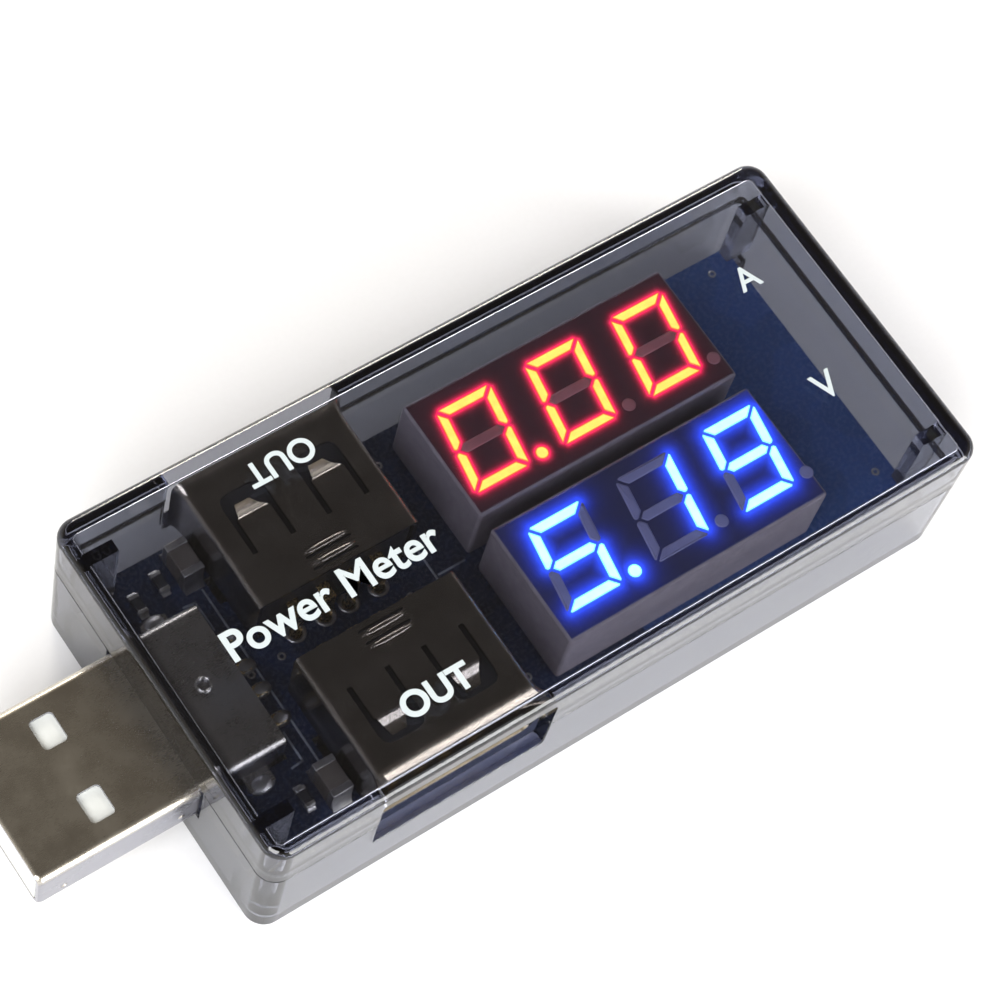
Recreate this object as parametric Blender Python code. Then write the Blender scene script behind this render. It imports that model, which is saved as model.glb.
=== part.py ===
"""USB power meter: a see-through two-part case with a plug, two side outputs and two LED displays.

Run it with: blender --background --python part.py
The case rests on Z = 0. The plug points to -X, and the outputs open to -Y (near) and +Y (far).
Helpers take millimetres, with X counted from the case's plug end, and build meshes in metres.
"""

import math

import bmesh
import bpy

MM = 0.001

# Case
CASE_LENGTH = 61.0
CASE_WIDTH = 28.4
CASE_HEIGHT = 14.2
CASE_WALL = 1.1
CASE_FLOOR = 1.2
CASE_CORNER_RADIUS = 1.6
CASE_EDGE_RADIUS = 0.8
PARTING_HEIGHT = 9.3
PARTING_GAP = 0.1
REBATE_DEPTH = 0.9
REBATE_WALL = 0.55
LIP_CLEARANCE = 0.1
RIB_THICKNESS = 1.0
RIB_REACH = 2.3
RIB_OUTER_Y = 11.5
OPENING_WIDTH = 14.4
OPENING_HEIGHT = 6.7
OPENING_CENTRE_HEIGHT = 9.2
OPENING_RADIUS = 0.4
NOTCH_CLEARANCE = 0.15

# Board
BOARD_START = 1.6
BOARD_LENGTH = 56.6
BOARD_WIDTH = 23.2
BOARD_TOP = 6.3
BOARD_THICKNESS = 1.6
BOARD_NOTCH_CLEARANCE = 0.2
DISPLAY_PIN_HOLE_RADIUS = 0.45
CONTACT_HOLE_RADIUS = 0.6
LEG_HOLE_CLEARANCE = 0.3
PIN_STICK_OUT = 1.2
SEAT_GAP = 0.05

# Plug, to the USB-A standard
PLUG_REACH = 12.6
PLUG_INSIDE = 6.8
PLUG_WIDTH = 12.0
PLUG_HEIGHT = 4.5
PLUG_CORNER_RADIUS = 0.7
PLUG_LEAD_IN_LENGTH = 0.3
PLUG_LEAD_IN_DEPTH = 0.12
SHEET = 0.3
PLUG_WINDOW_FROM_TIP = 5.15
PLUG_WINDOW_LENGTH = 1.85
PLUG_WINDOW_WIDTH = 2.4
PLUG_WINDOW_OFFSET = 3.05
FORMED_HOLE = (4.15, 0.4)
FORMED_HOLE_RADIUS = 0.4
PLUG_TAB_X = (3.4, 5.4)
PLUG_TAB_REACH = 1.2
PLUG_TONGUE_SETBACK = 0.5
PLUG_BLOCK_START = 0.5
PLUG_BLOCK_SETBACK = 0.3
PLUG_CONTACT_TOP = 7.0
PLUG_CONTACT_SETBACK = 1.2
PLUG_FOOT_BEND = 0.45
PLUG_FOOT_LENGTH = 1.2

# Contacts of the plug and of each output: outer pair and inner pair
CONTACT_PLACES = (-3.5, -1.0, 1.0, 3.5)
CONTACT_WIDTH = 0.9
CONTACT_SHEET = 0.25
CHANNEL_CLEARANCE = 0.1
INSULATOR_CLEARANCE = 0.1

# Outputs, to the USB-A standard
PORT_CENTRE_X = 16.1
PORT_CENTRE_HEIGHT = 9.6
PORT_WIDTH = 13.2
PORT_HEIGHT = 5.8
PORT_CORNER_RADIUS = 0.5
PORT_REAR = 2.2
PORT_FLARE_START = 11.7
PORT_FRONT = 12.9
PORT_FLARE = 0.4
LEAF_CENTRE = 3.05
LEAF_SLOT_OFFSET = 1.55
LEAF_SLOT_WIDTH = 0.45
LEAF_ROOT = 5.8
LEAF_BEND = 8.6
LEAF_TIP = 10.1
LEAF_DROP = 0.65
LEAF_WINDOW_END = 10.7
SLIT_LENGTH = 3.7
SLIT_WIDTH = 0.35
SLIT_PLACES = (2.75, 3.75)
TONGUE_WIDTH = 11.1
TONGUE_HEIGHT = 1.7
TONGUE_RISE = 0.15
TONGUE_END = 11.7
BLOCK_SETBACK = 0.3
BLOCK_DEPTH = 2.2
BLADE_SETBACK = 0.4
PIN_ROW = 1.4
LEG_START = 6.2
LEG_WIDTH = 1.6
LEG_ROOT_HEIGHT = 1.2

# Displays
DISPLAY_START = 26.5
DISPLAY_LENGTH = 22.8
DISPLAY_WIDTH = 10.0
DISPLAY_HEIGHT = 6.3
DISPLAY_WALL = 0.8
DISPLAY_FACE = 1.0
DISPLAY_BASE_THICKNESS = 0.8
DISPLAY_PIN_WIDTH = 0.5
AMPS_CENTRE_Y = 5.2
VOLTS_CENTRE_Y = -5.95
DIGIT_PITCH = 7.62
FIRST_DIGIT_X = 3.35
DIGIT_HEIGHT = 6.9
DIGIT_WIDTH = 4.5
SEGMENT_WIDTH = 0.95
SEGMENT_GAP = 0.1
DIGIT_SLANT = math.radians(9.5)
DOT_OFFSET_X = 3.25
DOT_RADIUS = 0.5
DISPLAY_PIN_PITCH = 2.54
DISPLAY_PINS_PER_ROW = 6
DISPLAY_ROW_OFFSET = 3.81

# Small parts on the board and under it
FILTER_CAPACITOR_SIZE = (1.7, 2.8, 2.3)
FILTER_CAPACITOR_X = 8.3
FILTER_CAPACITOR_Y = 9.5
SIGNAL_RESISTOR_SIZE = (0.8, 1.6, 0.45)
SIGNAL_RESISTOR_PLACES = ((4.2, 8.7), (6.4, 9.4), (6.4, -9.3))
CONTROLLER_SIZE = (6.5, 4.4, 1.0)
CONTROLLER_X = 38.0
CONTROLLER_LEG_COUNT = 10
CONTROLLER_LEG_PITCH = 0.65
REGULATOR_SIZE = (2.9, 1.6, 1.0)
REGULATOR_X = 34.0
REGULATOR_LEGS = (-0.95, 0.95)
CHIP_LEG_WIDTH = 0.24
CHIP_LEG_LENGTH = 0.9
CHIP_LEG_SHEET = 0.15
SHUNT_SIZE = (6.4, 3.2, 0.6)
SHUNT_PLACE = (16.1, 4.6)
CHIP_CAPACITOR_SIZE = (1.25, 2.0, 0.8)
CHIP_CAPACITOR_X = (30.5, 45.5)

# Worked out from these
CASE_START = (PLUG_REACH - CASE_LENGTH) / 2
BOARD_BOTTOM = BOARD_TOP - BOARD_THICKNESS
CEILING = CASE_HEIGHT - CASE_FLOOR
PLUG_TOP = PARTING_HEIGHT
PLUG_BOTTOM = PLUG_TOP - PLUG_HEIGHT
PORT_BOTTOM = PORT_CENTRE_HEIGHT - PORT_HEIGHT / 2
PORT_TOP = PORT_CENTRE_HEIGHT + PORT_HEIGHT / 2
TONGUE_BOTTOM = PORT_CENTRE_HEIGHT + TONGUE_RISE
DISPLAY_BOTTOM = BOARD_TOP + SEAT_GAP
DISPLAY_TOP = DISPLAY_BOTTOM + DISPLAY_HEIGHT
DISPLAY_CEILING = DISPLAY_TOP - DISPLAY_FACE
DISPLAY_BASE_TOP = DISPLAY_BOTTOM + SEAT_GAP + DISPLAY_BASE_THICKNESS
PIN_END = BOARD_BOTTOM - PIN_STICK_OUT

# Steps in a quarter of a large and of a small round corner, and round a circle
LARGE_ARC_STEPS = 8
SMALL_ARC_STEPS = 3
CIRCLE_STEPS = 16
SMALL_CIRCLE_STEPS = 10
EDGE_ROUND_STEPS = 3
SHARP_ANGLE = math.radians(35)

# How far a cutter runs past what it cuts, and how far a joined piece is sunk into its neighbour
THROUGH = 1.0
BURIED = 0.02


# Outlines, as lists of points in millimetres

def rounded_rectangle(centre, width, height, radius, steps=SMALL_ARC_STEPS):
    """Points counter-clockwise round a rectangle with round corners."""
    points = []
    for corner, (side_a, side_b) in enumerate(((1, 1), (-1, 1), (-1, -1), (1, -1))):
        middle_a = centre[0] + side_a * (width / 2 - radius)
        middle_b = centre[1] + side_b * (height / 2 - radius)
        for step in range(steps + 1):
            angle = math.pi / 2 * (corner + step / steps)
            points.append((middle_a + radius * math.cos(angle), middle_b + radius * math.sin(angle)))
    return points


def circle(centre, radius, steps=CIRCLE_STEPS):
    angles = [2 * math.pi * step / steps for step in range(steps)]
    return [(centre[0] + radius * math.cos(a), centre[1] + radius * math.sin(a)) for a in angles]


def rectangle(first, second):
    return [(first[0], first[1]), (second[0], first[1]), (second[0], second[1]), (first[0], second[1])]


def case_outline(inset):
    """The case's plan, moved inwards by inset."""
    centre = (CASE_LENGTH / 2, 0.0)
    size = (CASE_LENGTH - 2 * inset, CASE_WIDTH - 2 * inset)
    return rounded_rectangle(centre, *size, CASE_CORNER_RADIUS - inset, LARGE_ARC_STEPS)


def slanted(point, centre):
    """A point of an upright digit, slanted and moved to the digit's centre."""
    return (centre[0] + point[0] + point[1] * math.tan(DIGIT_SLANT), centre[1] + point[1])


def bar(start, end, width):
    """A six-sided bar from start to end, pointed at both ends."""
    half = width / 2
    if start[1] == end[1]:
        return [
            start,
            (start[0] + half, start[1] - half),
            (end[0] - half, end[1] - half),
            end,
            (end[0] - half, end[1] + half),
            (start[0] + half, start[1] + half),
        ]
    return [
        start,
        (start[0] + half, start[1] + half),
        (end[0] + half, end[1] - half),
        end,
        (end[0] - half, end[1] - half),
        (start[0] - half, start[1] + half),
    ]


def digit_outlines(centre, shrink):
    """The seven segments and the dot of one digit, each drawn in by shrink."""
    side = (DIGIT_WIDTH - SEGMENT_WIDTH) / 2
    top = (DIGIT_HEIGHT - SEGMENT_WIDTH) / 2
    gap = SEGMENT_GAP + shrink
    width = SEGMENT_WIDTH - 2 * shrink
    outlines = []
    for level in (-top, 0.0, top):
        outlines.append(bar((-side + gap, level), (side - gap, level), width))
    for place in (-side, side):
        for low, high in ((-top, 0.0), (0.0, top)):
            outlines.append(bar((place, low + gap), (place, high - gap), width))
    outlines = [[slanted(point, centre) for point in outline] for outline in outlines]
    dot_centre = (centre[0] + DOT_OFFSET_X, centre[1] - DIGIT_HEIGHT / 2 + SEGMENT_WIDTH / 2)
    outlines.append(circle(dot_centre, DOT_RADIUS - shrink))
    return outlines


def display_outlines(centre_y, shrink):
    outlines = []
    for digit in range(3):
        centre_x = DISPLAY_START + FIRST_DIGIT_X + digit * DIGIT_PITCH
        outlines += digit_outlines((centre_x, centre_y), shrink)
    return outlines


# Solids

def world(x, y, z):
    """Millimetres, with X from the case's plug end, to metres."""
    return ((CASE_START + x) * MM, y * MM, z * MM)


def add_prism(mesh, outline, low, high, axis="Z"):
    """A prism of a closed outline. Its points are (X, Y) for axis Z, (Y, Z) for X and (X, Z) for Y."""
    rings = []
    for level in (low, high):
        if axis == "Z":
            places = [world(a, b, level) for a, b in outline]
        elif axis == "X":
            places = [world(level, a, b) for a, b in outline]
        else:
            places = [world(a, level, b) for a, b in outline]
        rings.append([mesh.verts.new(place) for place in places])
    faces = [mesh.faces.new(rings[0]), mesh.faces.new(rings[1])]
    for index in range(len(outline)):
        after = (index + 1) % len(outline)
        faces.append(mesh.faces.new((rings[0][index], rings[0][after], rings[1][after], rings[1][index])))
    bmesh.ops.recalc_face_normals(mesh, faces=faces)
    return rings


def add_box(mesh, x, y, z):
    add_prism(mesh, rectangle((x[0], y[0]), (x[1], y[1])), z[0], z[1])


def add_ring_loft(mesh, rings):
    """Joins closed rings of places one after another, and the last to the first."""
    loops = [[mesh.verts.new(place) for place in ring] for ring in rings]
    for number, loop in enumerate(loops):
        other = loops[(number + 1) % len(loops)]
        for index in range(len(loop)):
            after = (index + 1) % len(loop)
            mesh.faces.new((loop[index], loop[after], other[after], other[index]))
    bmesh.ops.recalc_face_normals(mesh, faces=mesh.faces)


def round_edges(mesh, level, radius):
    """Rounds the outline's edges at one height."""
    height = level * MM
    edges = [e for e in mesh.edges if all(abs(v.co.z - height) < 0.01 * MM for v in e.verts)]
    steps = EDGE_ROUND_STEPS
    bmesh.ops.bevel(mesh, geom=edges, offset=radius * MM, segments=steps, profile=0.5, affect="EDGES")


def new_object(name, mesh):
    data = bpy.data.meshes.new(name)
    mesh.to_mesh(data)
    mesh.free()
    obj = bpy.data.objects.new(name, data)
    bpy.context.scene.collection.objects.link(obj)
    return obj


def place_part(name, mesh, material, smooth=False):
    obj = new_object(name, mesh)
    obj.data.materials.append(material)
    if smooth:
        obj.data.shade_smooth()
        obj.data.set_sharp_from_angle(angle=SHARP_ANGLE)
    return obj


def helper(name, mesh):
    obj = new_object(name, mesh)
    obj.hide_render = True
    obj.display_type = "WIRE"
    return obj


def combine(obj, tool, operation):
    modifier = obj.modifiers.new(tool.name, "BOOLEAN")
    modifier.operation = operation
    modifier.object = tool


def cut(obj, tool):
    combine(obj, tool, "DIFFERENCE")


def fuse(obj, tool):
    combine(obj, tool, "UNION")


def make_material(name, colour, roughness, metallic=0.0, alpha=1.0):
    material = bpy.data.materials.new(name)
    material.use_nodes = True
    shader = material.node_tree.nodes["Principled BSDF"]
    shader.inputs["Base Color"].default_value = (*colour, 1.0)
    shader.inputs["Roughness"].default_value = roughness
    shader.inputs["Metallic"].default_value = metallic
    shader.inputs["Alpha"].default_value = alpha
    return material


# Case

def make_opening_tool():
    """Both side openings, which the parting line crosses."""
    mesh = bmesh.new()
    centre = (PORT_CENTRE_X, OPENING_CENTRE_HEIGHT)
    outline = rounded_rectangle(centre, OPENING_WIDTH, OPENING_HEIGHT, OPENING_RADIUS)
    outside = CASE_WIDTH / 2 + THROUGH
    inside = CASE_WIDTH / 2 - CASE_WALL - THROUGH
    add_prism(mesh, outline, -outside, -inside, "Y")
    add_prism(mesh, outline, inside, outside, "Y")
    return helper("opening_tool", mesh)


def add_corner_ribs(mesh, profile):
    """A rib by each corner. Its profile's points are the distance from the end face, and the height."""
    near_end = profile
    far_end = [(CASE_LENGTH - distance, height) for distance, height in profile]
    for outline in (near_end, far_end):
        for side in (-1, 1):
            rib_y = sorted((side * RIB_OUTER_Y, side * (RIB_OUTER_Y - RIB_THICKNESS)))
            add_prism(mesh, outline, *rib_y, "Y")


def make_upper_shell(opening_tool, material):
    mesh = bmesh.new()
    bottom = PARTING_HEIGHT + PARTING_GAP / 2
    add_prism(mesh, case_outline(0.0), bottom, CASE_HEIGHT)
    round_edges(mesh, CASE_HEIGHT, CASE_EDGE_RADIUS)
    shell = place_part("upper_shell", mesh, material, smooth=True)

    cavity = bmesh.new()
    add_prism(cavity, case_outline(CASE_WALL), bottom - THROUGH, CEILING)
    cut(shell, helper("upper_cavity", cavity))
    rebate = bmesh.new()
    add_prism(rebate, case_outline(REBATE_WALL), bottom - THROUGH, bottom + REBATE_DEPTH)
    cut(shell, helper("upper_rebate", rebate))
    cut(shell, opening_tool)

    # The ribs press on the board, and step inwards to pass the lower shell's lip.
    ribs = bmesh.new()
    buried = CASE_WALL / 2
    beside_lip = CASE_WALL + LIP_CLEARANCE
    over_lip = bottom + REBATE_DEPTH + LIP_CLEARANCE
    end = CASE_WALL + RIB_REACH
    over_board = BOARD_TOP + SEAT_GAP
    profile = [
        (buried, over_lip),
        (beside_lip, over_lip),
        (beside_lip, over_board),
        (end, over_board),
        (end, CEILING + CASE_FLOOR / 2),
        (buried, CEILING + CASE_FLOOR / 2),
    ]
    add_corner_ribs(ribs, profile)
    fuse(shell, helper("upper_ribs", ribs))


def make_lower_shell(opening_tool, material):
    mesh = bmesh.new()
    top = PARTING_HEIGHT - PARTING_GAP / 2
    add_prism(mesh, case_outline(0.0), 0.0, top)
    round_edges(mesh, 0.0, CASE_EDGE_RADIUS)
    shell = place_part("lower_shell", mesh, material, smooth=True)

    lip = bmesh.new()
    lip_top = PARTING_HEIGHT + REBATE_DEPTH - LIP_CLEARANCE
    add_prism(lip, case_outline(REBATE_WALL + LIP_CLEARANCE), top - THROUGH / 2, lip_top)
    fuse(shell, helper("lower_lip", lip))
    cavity = bmesh.new()
    add_prism(cavity, case_outline(CASE_WALL), CASE_FLOOR, lip_top + THROUGH)
    cut(shell, helper("lower_cavity", cavity))
    cut(shell, opening_tool)
    notch = bmesh.new()
    half = PLUG_WIDTH / 2 + NOTCH_CLEARANCE
    notch_x = (-THROUGH, CASE_WALL + THROUGH)
    add_box(notch, notch_x, (-half, half), (PLUG_BOTTOM - NOTCH_CLEARANCE, lip_top + THROUGH))
    cut(shell, helper("plug_notch", notch))

    posts = bmesh.new()
    under_board = BOARD_BOTTOM - SEAT_GAP
    add_corner_ribs(posts, rectangle((CASE_WALL / 2, CASE_FLOOR / 2), (CASE_WALL + RIB_REACH, under_board)))
    fuse(shell, helper("lower_posts", posts))


# Board

def display_pin_places():
    middle = DISPLAY_START + DISPLAY_LENGTH / 2
    span = DISPLAY_PIN_PITCH * (DISPLAY_PINS_PER_ROW - 1)
    for centre_y in (AMPS_CENTRE_Y, VOLTS_CENTRE_Y):
        for row in (-DISPLAY_ROW_OFFSET, DISPLAY_ROW_OFFSET):
            for pin in range(DISPLAY_PINS_PER_ROW):
                yield (middle - span / 2 + pin * DISPLAY_PIN_PITCH, centre_y + row)


def make_circuit_board(material):
    half = BOARD_WIDTH / 2
    notch_half = PLUG_WIDTH / 2 + BOARD_NOTCH_CLEARANCE
    notch_end = PLUG_INSIDE + BOARD_NOTCH_CLEARANCE
    end = BOARD_START + BOARD_LENGTH
    outline = [
        (BOARD_START, -half),
        (end, -half),
        (end, half),
        (BOARD_START, half),
        (BOARD_START, notch_half),
        (notch_end, notch_half),
        (notch_end, -notch_half),
        (BOARD_START, -notch_half),
    ]
    mesh = bmesh.new()
    add_prism(mesh, outline, BOARD_BOTTOM, BOARD_TOP)
    board = place_part("circuit_board", mesh, material)

    holes = bmesh.new()
    hole_z = (BOARD_BOTTOM - THROUGH, BOARD_TOP + THROUGH)
    for place in display_pin_places():
        add_prism(holes, circle(place, DISPLAY_PIN_HOLE_RADIUS, SMALL_CIRCLE_STEPS), *hole_z)
    leg_half = SHEET / 2 + LEG_HOLE_CLEARANCE
    leg_offset = (PORT_WIDTH - SHEET) / 2
    for side in (-1, 1):
        for contact in CONTACT_PLACES:
            place = (PORT_CENTRE_X + contact, side * PIN_ROW)
            add_prism(holes, circle(place, CONTACT_HOLE_RADIUS, SMALL_CIRCLE_STEPS), *hole_z)
        leg_ends = (LEG_START - LEG_HOLE_CLEARANCE, LEG_START + LEG_WIDTH + LEG_HOLE_CLEARANCE)
        leg_y = sorted(side * end for end in leg_ends)
        for leg_x in (PORT_CENTRE_X - leg_offset, PORT_CENTRE_X + leg_offset):
            add_box(holes, (leg_x - leg_half, leg_x + leg_half), leg_y, hole_z)
    cut(board, helper("board_holes", holes))


# Plug

def plug_ring(x, inset, radius):
    """One ring of the plug's shell, across X, moved inwards by inset."""
    centre = (0.0, (PLUG_TOP + PLUG_BOTTOM) / 2)
    outline = rounded_rectangle(centre, PLUG_WIDTH - 2 * inset, PLUG_HEIGHT - 2 * inset, radius)
    return [world(x, y, z) for y, z in outline]


def make_plug_shell(material):
    stations = (
        (-PLUG_REACH, PLUG_LEAD_IN_DEPTH),
        (-PLUG_REACH + PLUG_LEAD_IN_LENGTH, 0.0),
        (PLUG_INSIDE, 0.0),
    )
    outer = [plug_ring(x, inset, PLUG_CORNER_RADIUS) for x, inset in stations]
    inner = [plug_ring(x, inset + SHEET, PLUG_CORNER_RADIUS - SHEET) for x, inset in stations]
    mesh = bmesh.new()
    add_ring_loft(mesh, outer + inner[::-1])
    shell = place_part("plug_shell", mesh, material, smooth=True)

    windows = bmesh.new()
    start = -PLUG_REACH + PLUG_WINDOW_FROM_TIP
    for side in (-1, 1):
        middle = side * PLUG_WINDOW_OFFSET
        window_y = (middle - PLUG_WINDOW_WIDTH / 2, middle + PLUG_WINDOW_WIDTH / 2)
        for level in (PLUG_BOTTOM, PLUG_TOP):
            window_z = (level - 2 * SHEET, level + 2 * SHEET)
            add_box(windows, (start, start + PLUG_WINDOW_LENGTH), window_y, window_z)
    hole = circle(FORMED_HOLE, FORMED_HOLE_RADIUS, SMALL_CIRCLE_STEPS)
    add_prism(windows, hole, PLUG_TOP - 2 * SHEET, PLUG_TOP + 2 * SHEET)
    cut(shell, helper("plug_windows", windows))

    tabs = bmesh.new()
    tab_z = (BOARD_TOP + SEAT_GAP, BOARD_TOP + SEAT_GAP + SHEET)
    tab_ends = (PLUG_WIDTH / 2 - SHEET / 2, PLUG_WIDTH / 2 + PLUG_TAB_REACH)
    for side in (-1, 1):
        add_box(tabs, PLUG_TAB_X, sorted(side * end for end in tab_ends), tab_z)
    fuse(shell, helper("plug_tabs", tabs))


def make_plug_insulator(material):
    """A tongue under the shell's top, and a block that fills the shell behind the case's wall."""
    inside_top = PLUG_TOP - SHEET - SEAT_GAP
    inside_bottom = PLUG_BOTTOM + SHEET + SEAT_GAP
    underside = PLUG_CONTACT_TOP + SEAT_GAP
    tip = -PLUG_REACH + PLUG_TONGUE_SETBACK
    back = PLUG_INSIDE - PLUG_BLOCK_SETBACK
    outline = [
        (tip, underside),
        (PLUG_BLOCK_START, underside),
        (PLUG_BLOCK_START, inside_bottom),
        (back, inside_bottom),
        (back, inside_top),
        (tip, inside_top),
    ]
    # Narrow enough to miss the round corners inside the shell
    half = PLUG_WIDTH / 2 - SHEET - (PLUG_CORNER_RADIUS - SHEET) / 2 - SEAT_GAP
    mesh = bmesh.new()
    add_prism(mesh, outline, -half, half, "Y")
    insulator = place_part("plug_insulator", mesh, material)
    channels = bmesh.new()
    channel_half = CONTACT_WIDTH / 2 + CHANNEL_CLEARANCE
    channel_x = (PLUG_BLOCK_START - THROUGH, PLUG_INSIDE)
    channel_z = (PLUG_CONTACT_TOP - CONTACT_SHEET - SEAT_GAP, underside)
    for place in CONTACT_PLACES:
        add_box(channels, channel_x, (place - channel_half, place + channel_half), channel_z)
    cut(insulator, helper("plug_channels", channels))


def make_plug_contacts(material):
    """A blade under the tongue, out of the back of the plug and down onto the board."""
    top = PLUG_CONTACT_TOP
    foot = BOARD_TOP + SEAT_GAP
    tip = -PLUG_REACH + PLUG_CONTACT_SETBACK
    bend = PLUG_INSIDE + PLUG_FOOT_BEND
    outline = [
        (tip, top - CONTACT_SHEET),
        (bend, top - CONTACT_SHEET),
        (bend, foot),
        (bend + PLUG_FOOT_LENGTH, foot),
        (bend + PLUG_FOOT_LENGTH, foot + CONTACT_SHEET),
        (bend + CONTACT_SHEET, foot + CONTACT_SHEET),
        (bend + CONTACT_SHEET, top),
        (tip, top),
    ]
    for number, place in enumerate(CONTACT_PLACES, 1):
        mesh = bmesh.new()
        add_prism(mesh, outline, place - CONTACT_WIDTH / 2, place + CONTACT_WIDTH / 2, "Y")
        place_part(f"plug_contact_{number}", mesh, material)


# Outputs. Depth is the distance from the middle of the case, towards the output's opening.

def port_ring(side, depth, grow, radius):
    centre = (PORT_CENTRE_X, PORT_CENTRE_HEIGHT)
    outline = rounded_rectangle(centre, PORT_WIDTH + 2 * grow, PORT_HEIGHT + 2 * grow, radius)
    return [world(x, side * depth, z) for x, z in outline]


def leaf_slots(side, centre_x):
    """The two slots and the window that free one spring leaf, as one U in plan."""
    outer = LEAF_SLOT_OFFSET + LEAF_SLOT_WIDTH / 2
    inner = LEAF_SLOT_OFFSET - LEAF_SLOT_WIDTH / 2
    half_outline = [
        (outer, LEAF_WINDOW_END),
        (outer, LEAF_ROOT),
        (inner, LEAF_ROOT),
        (inner, LEAF_BEND),
    ]
    outline = half_outline + [(-x, depth) for x, depth in reversed(half_outline)]
    return [(centre_x + x, side * depth) for x, depth in outline]


def leaf_tip_profile(side):
    """The bent end of a spring leaf, as a strip that slopes down into the output."""
    top = PORT_TOP - BURIED
    middle = (LEAF_BEND + LEAF_TIP) / 2
    upper = [
        (LEAF_BEND - SHEET, top),
        (LEAF_BEND, top),
        (middle, top - LEAF_DROP * 0.6),
        (LEAF_TIP, top - LEAF_DROP),
    ]
    lower = [(depth, height - (SHEET - 2 * BURIED)) for depth, height in reversed(upper)]
    return [(side * depth, height) for depth, height in upper + lower]


def make_port_shell(name, side, material):
    stations = (
        (PORT_REAR, 0.0),
        (PORT_FLARE_START, 0.0),
        ((PORT_FLARE_START + PORT_FRONT) / 2, PORT_FLARE * 0.3),
        (PORT_FRONT, PORT_FLARE),
    )
    radius = PORT_CORNER_RADIUS
    outer = [port_ring(side, depth, grow, radius + grow) for depth, grow in stations]
    inner = [port_ring(side, depth, grow - SHEET, radius + grow - SHEET) for depth, grow in stations]
    mesh = bmesh.new()
    add_ring_loft(mesh, outer + inner[::-1])
    shell = place_part(f"{name}_port_shell", mesh, material, smooth=True)

    slots = bmesh.new()
    slot_z = (PORT_TOP - 2 * SHEET, PORT_TOP + 2 * SHEET)
    for leaf in (-LEAF_CENTRE, LEAF_CENTRE):
        add_prism(slots, leaf_slots(side, PORT_CENTRE_X + leaf), *slot_z)
    slit_x = (PORT_CENTRE_X - SLIT_LENGTH / 2, PORT_CENTRE_X + SLIT_LENGTH / 2)
    for place in SLIT_PLACES:
        add_box(slots, slit_x, (side * place - SLIT_WIDTH / 2, side * place + SLIT_WIDTH / 2), slot_z)
    cut(shell, helper(f"{name}_port_slots", slots))

    extras = bmesh.new()
    half = LEAF_SLOT_OFFSET - LEAF_SLOT_WIDTH / 2 - BURIED
    for leaf in (-LEAF_CENTRE, LEAF_CENTRE):
        middle = PORT_CENTRE_X + leaf
        add_prism(extras, leaf_tip_profile(side), middle - half, middle + half, "X")
    leg_y = sorted((side * LEG_START, side * (LEG_START + LEG_WIDTH)))
    leg_offsets = (PORT_WIDTH / 2 - SHEET + BURIED, PORT_WIDTH / 2 - BURIED)
    for leg in (-1, 1):
        leg_x = sorted(PORT_CENTRE_X + leg * offset for offset in leg_offsets)
        add_box(extras, leg_x, leg_y, (PIN_END, PORT_BOTTOM + LEG_ROOT_HEIGHT))
    fuse(shell, helper(f"{name}_port_extras", extras))


def make_port_insulator(name, side, material):
    """The tongue that the contacts lie under, and the block at its root."""
    half_height = PORT_HEIGHT / 2 - SHEET - INSULATOR_CLEARANCE
    half_width = PORT_WIDTH / 2 - SHEET - INSULATOR_CLEARANCE
    block_start = PORT_REAR + BLOCK_SETBACK
    block_end = block_start + BLOCK_DEPTH
    block_x = (PORT_CENTRE_X - half_width, PORT_CENTRE_X + half_width)
    block_z = (PORT_CENTRE_HEIGHT - half_height, PORT_CENTRE_HEIGHT + half_height)
    mesh = bmesh.new()
    add_box(mesh, block_x, sorted((side * block_start, side * block_end)), block_z)
    insulator = place_part(f"{name}_port_insulator", mesh, material)

    tongue = bmesh.new()
    tongue_x = (PORT_CENTRE_X - TONGUE_WIDTH / 2, PORT_CENTRE_X + TONGUE_WIDTH / 2)
    tongue_y = sorted((side * (block_end - BLOCK_DEPTH / 2), side * TONGUE_END))
    add_box(tongue, tongue_x, tongue_y, (TONGUE_BOTTOM, TONGUE_BOTTOM + TONGUE_HEIGHT))
    fuse(insulator, helper(f"{name}_tongue", tongue))
    channels = bmesh.new()
    channel_half = CONTACT_WIDTH / 2 + CHANNEL_CLEARANCE
    channel_y = sorted((side * PORT_REAR, side * (block_end + THROUGH)))
    channel_z = (TONGUE_BOTTOM - CONTACT_SHEET - 2 * SEAT_GAP, TONGUE_BOTTOM)
    for place in CONTACT_PLACES:
        middle = PORT_CENTRE_X + place
        add_box(channels, (middle - channel_half, middle + channel_half), channel_y, channel_z)
    cut(insulator, helper(f"{name}_channels", channels))


def make_port_contacts(name, side, material):
    """A blade under the tongue, out of the back of the output and down through the board."""
    top = TONGUE_BOTTOM - SEAT_GAP
    tip = TONGUE_END - BLADE_SETBACK
    inner = PIN_ROW - CONTACT_SHEET / 2
    outline = [
        (tip, top - CONTACT_SHEET),
        (tip, top),
        (inner, top),
        (inner, PIN_END),
        (inner + CONTACT_SHEET, PIN_END),
        (inner + CONTACT_SHEET, top - CONTACT_SHEET),
    ]
    outline = [(side * depth, z) for depth, z in outline]
    for number, place in enumerate(CONTACT_PLACES, 1):
        middle = PORT_CENTRE_X + place
        mesh = bmesh.new()
        add_prism(mesh, outline, middle - CONTACT_WIDTH / 2, middle + CONTACT_WIDTH / 2, "X")
        place_part(f"{name}_port_contact_{number}", mesh, material)


# Displays

def display_box(centre_y, inset):
    """X and Y ranges of a display's plan, moved inwards by inset."""
    half = DISPLAY_WIDTH / 2 - inset
    return (
        (DISPLAY_START + inset, DISPLAY_START + DISPLAY_LENGTH - inset),
        (centre_y - half, centre_y + half),
    )


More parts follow.
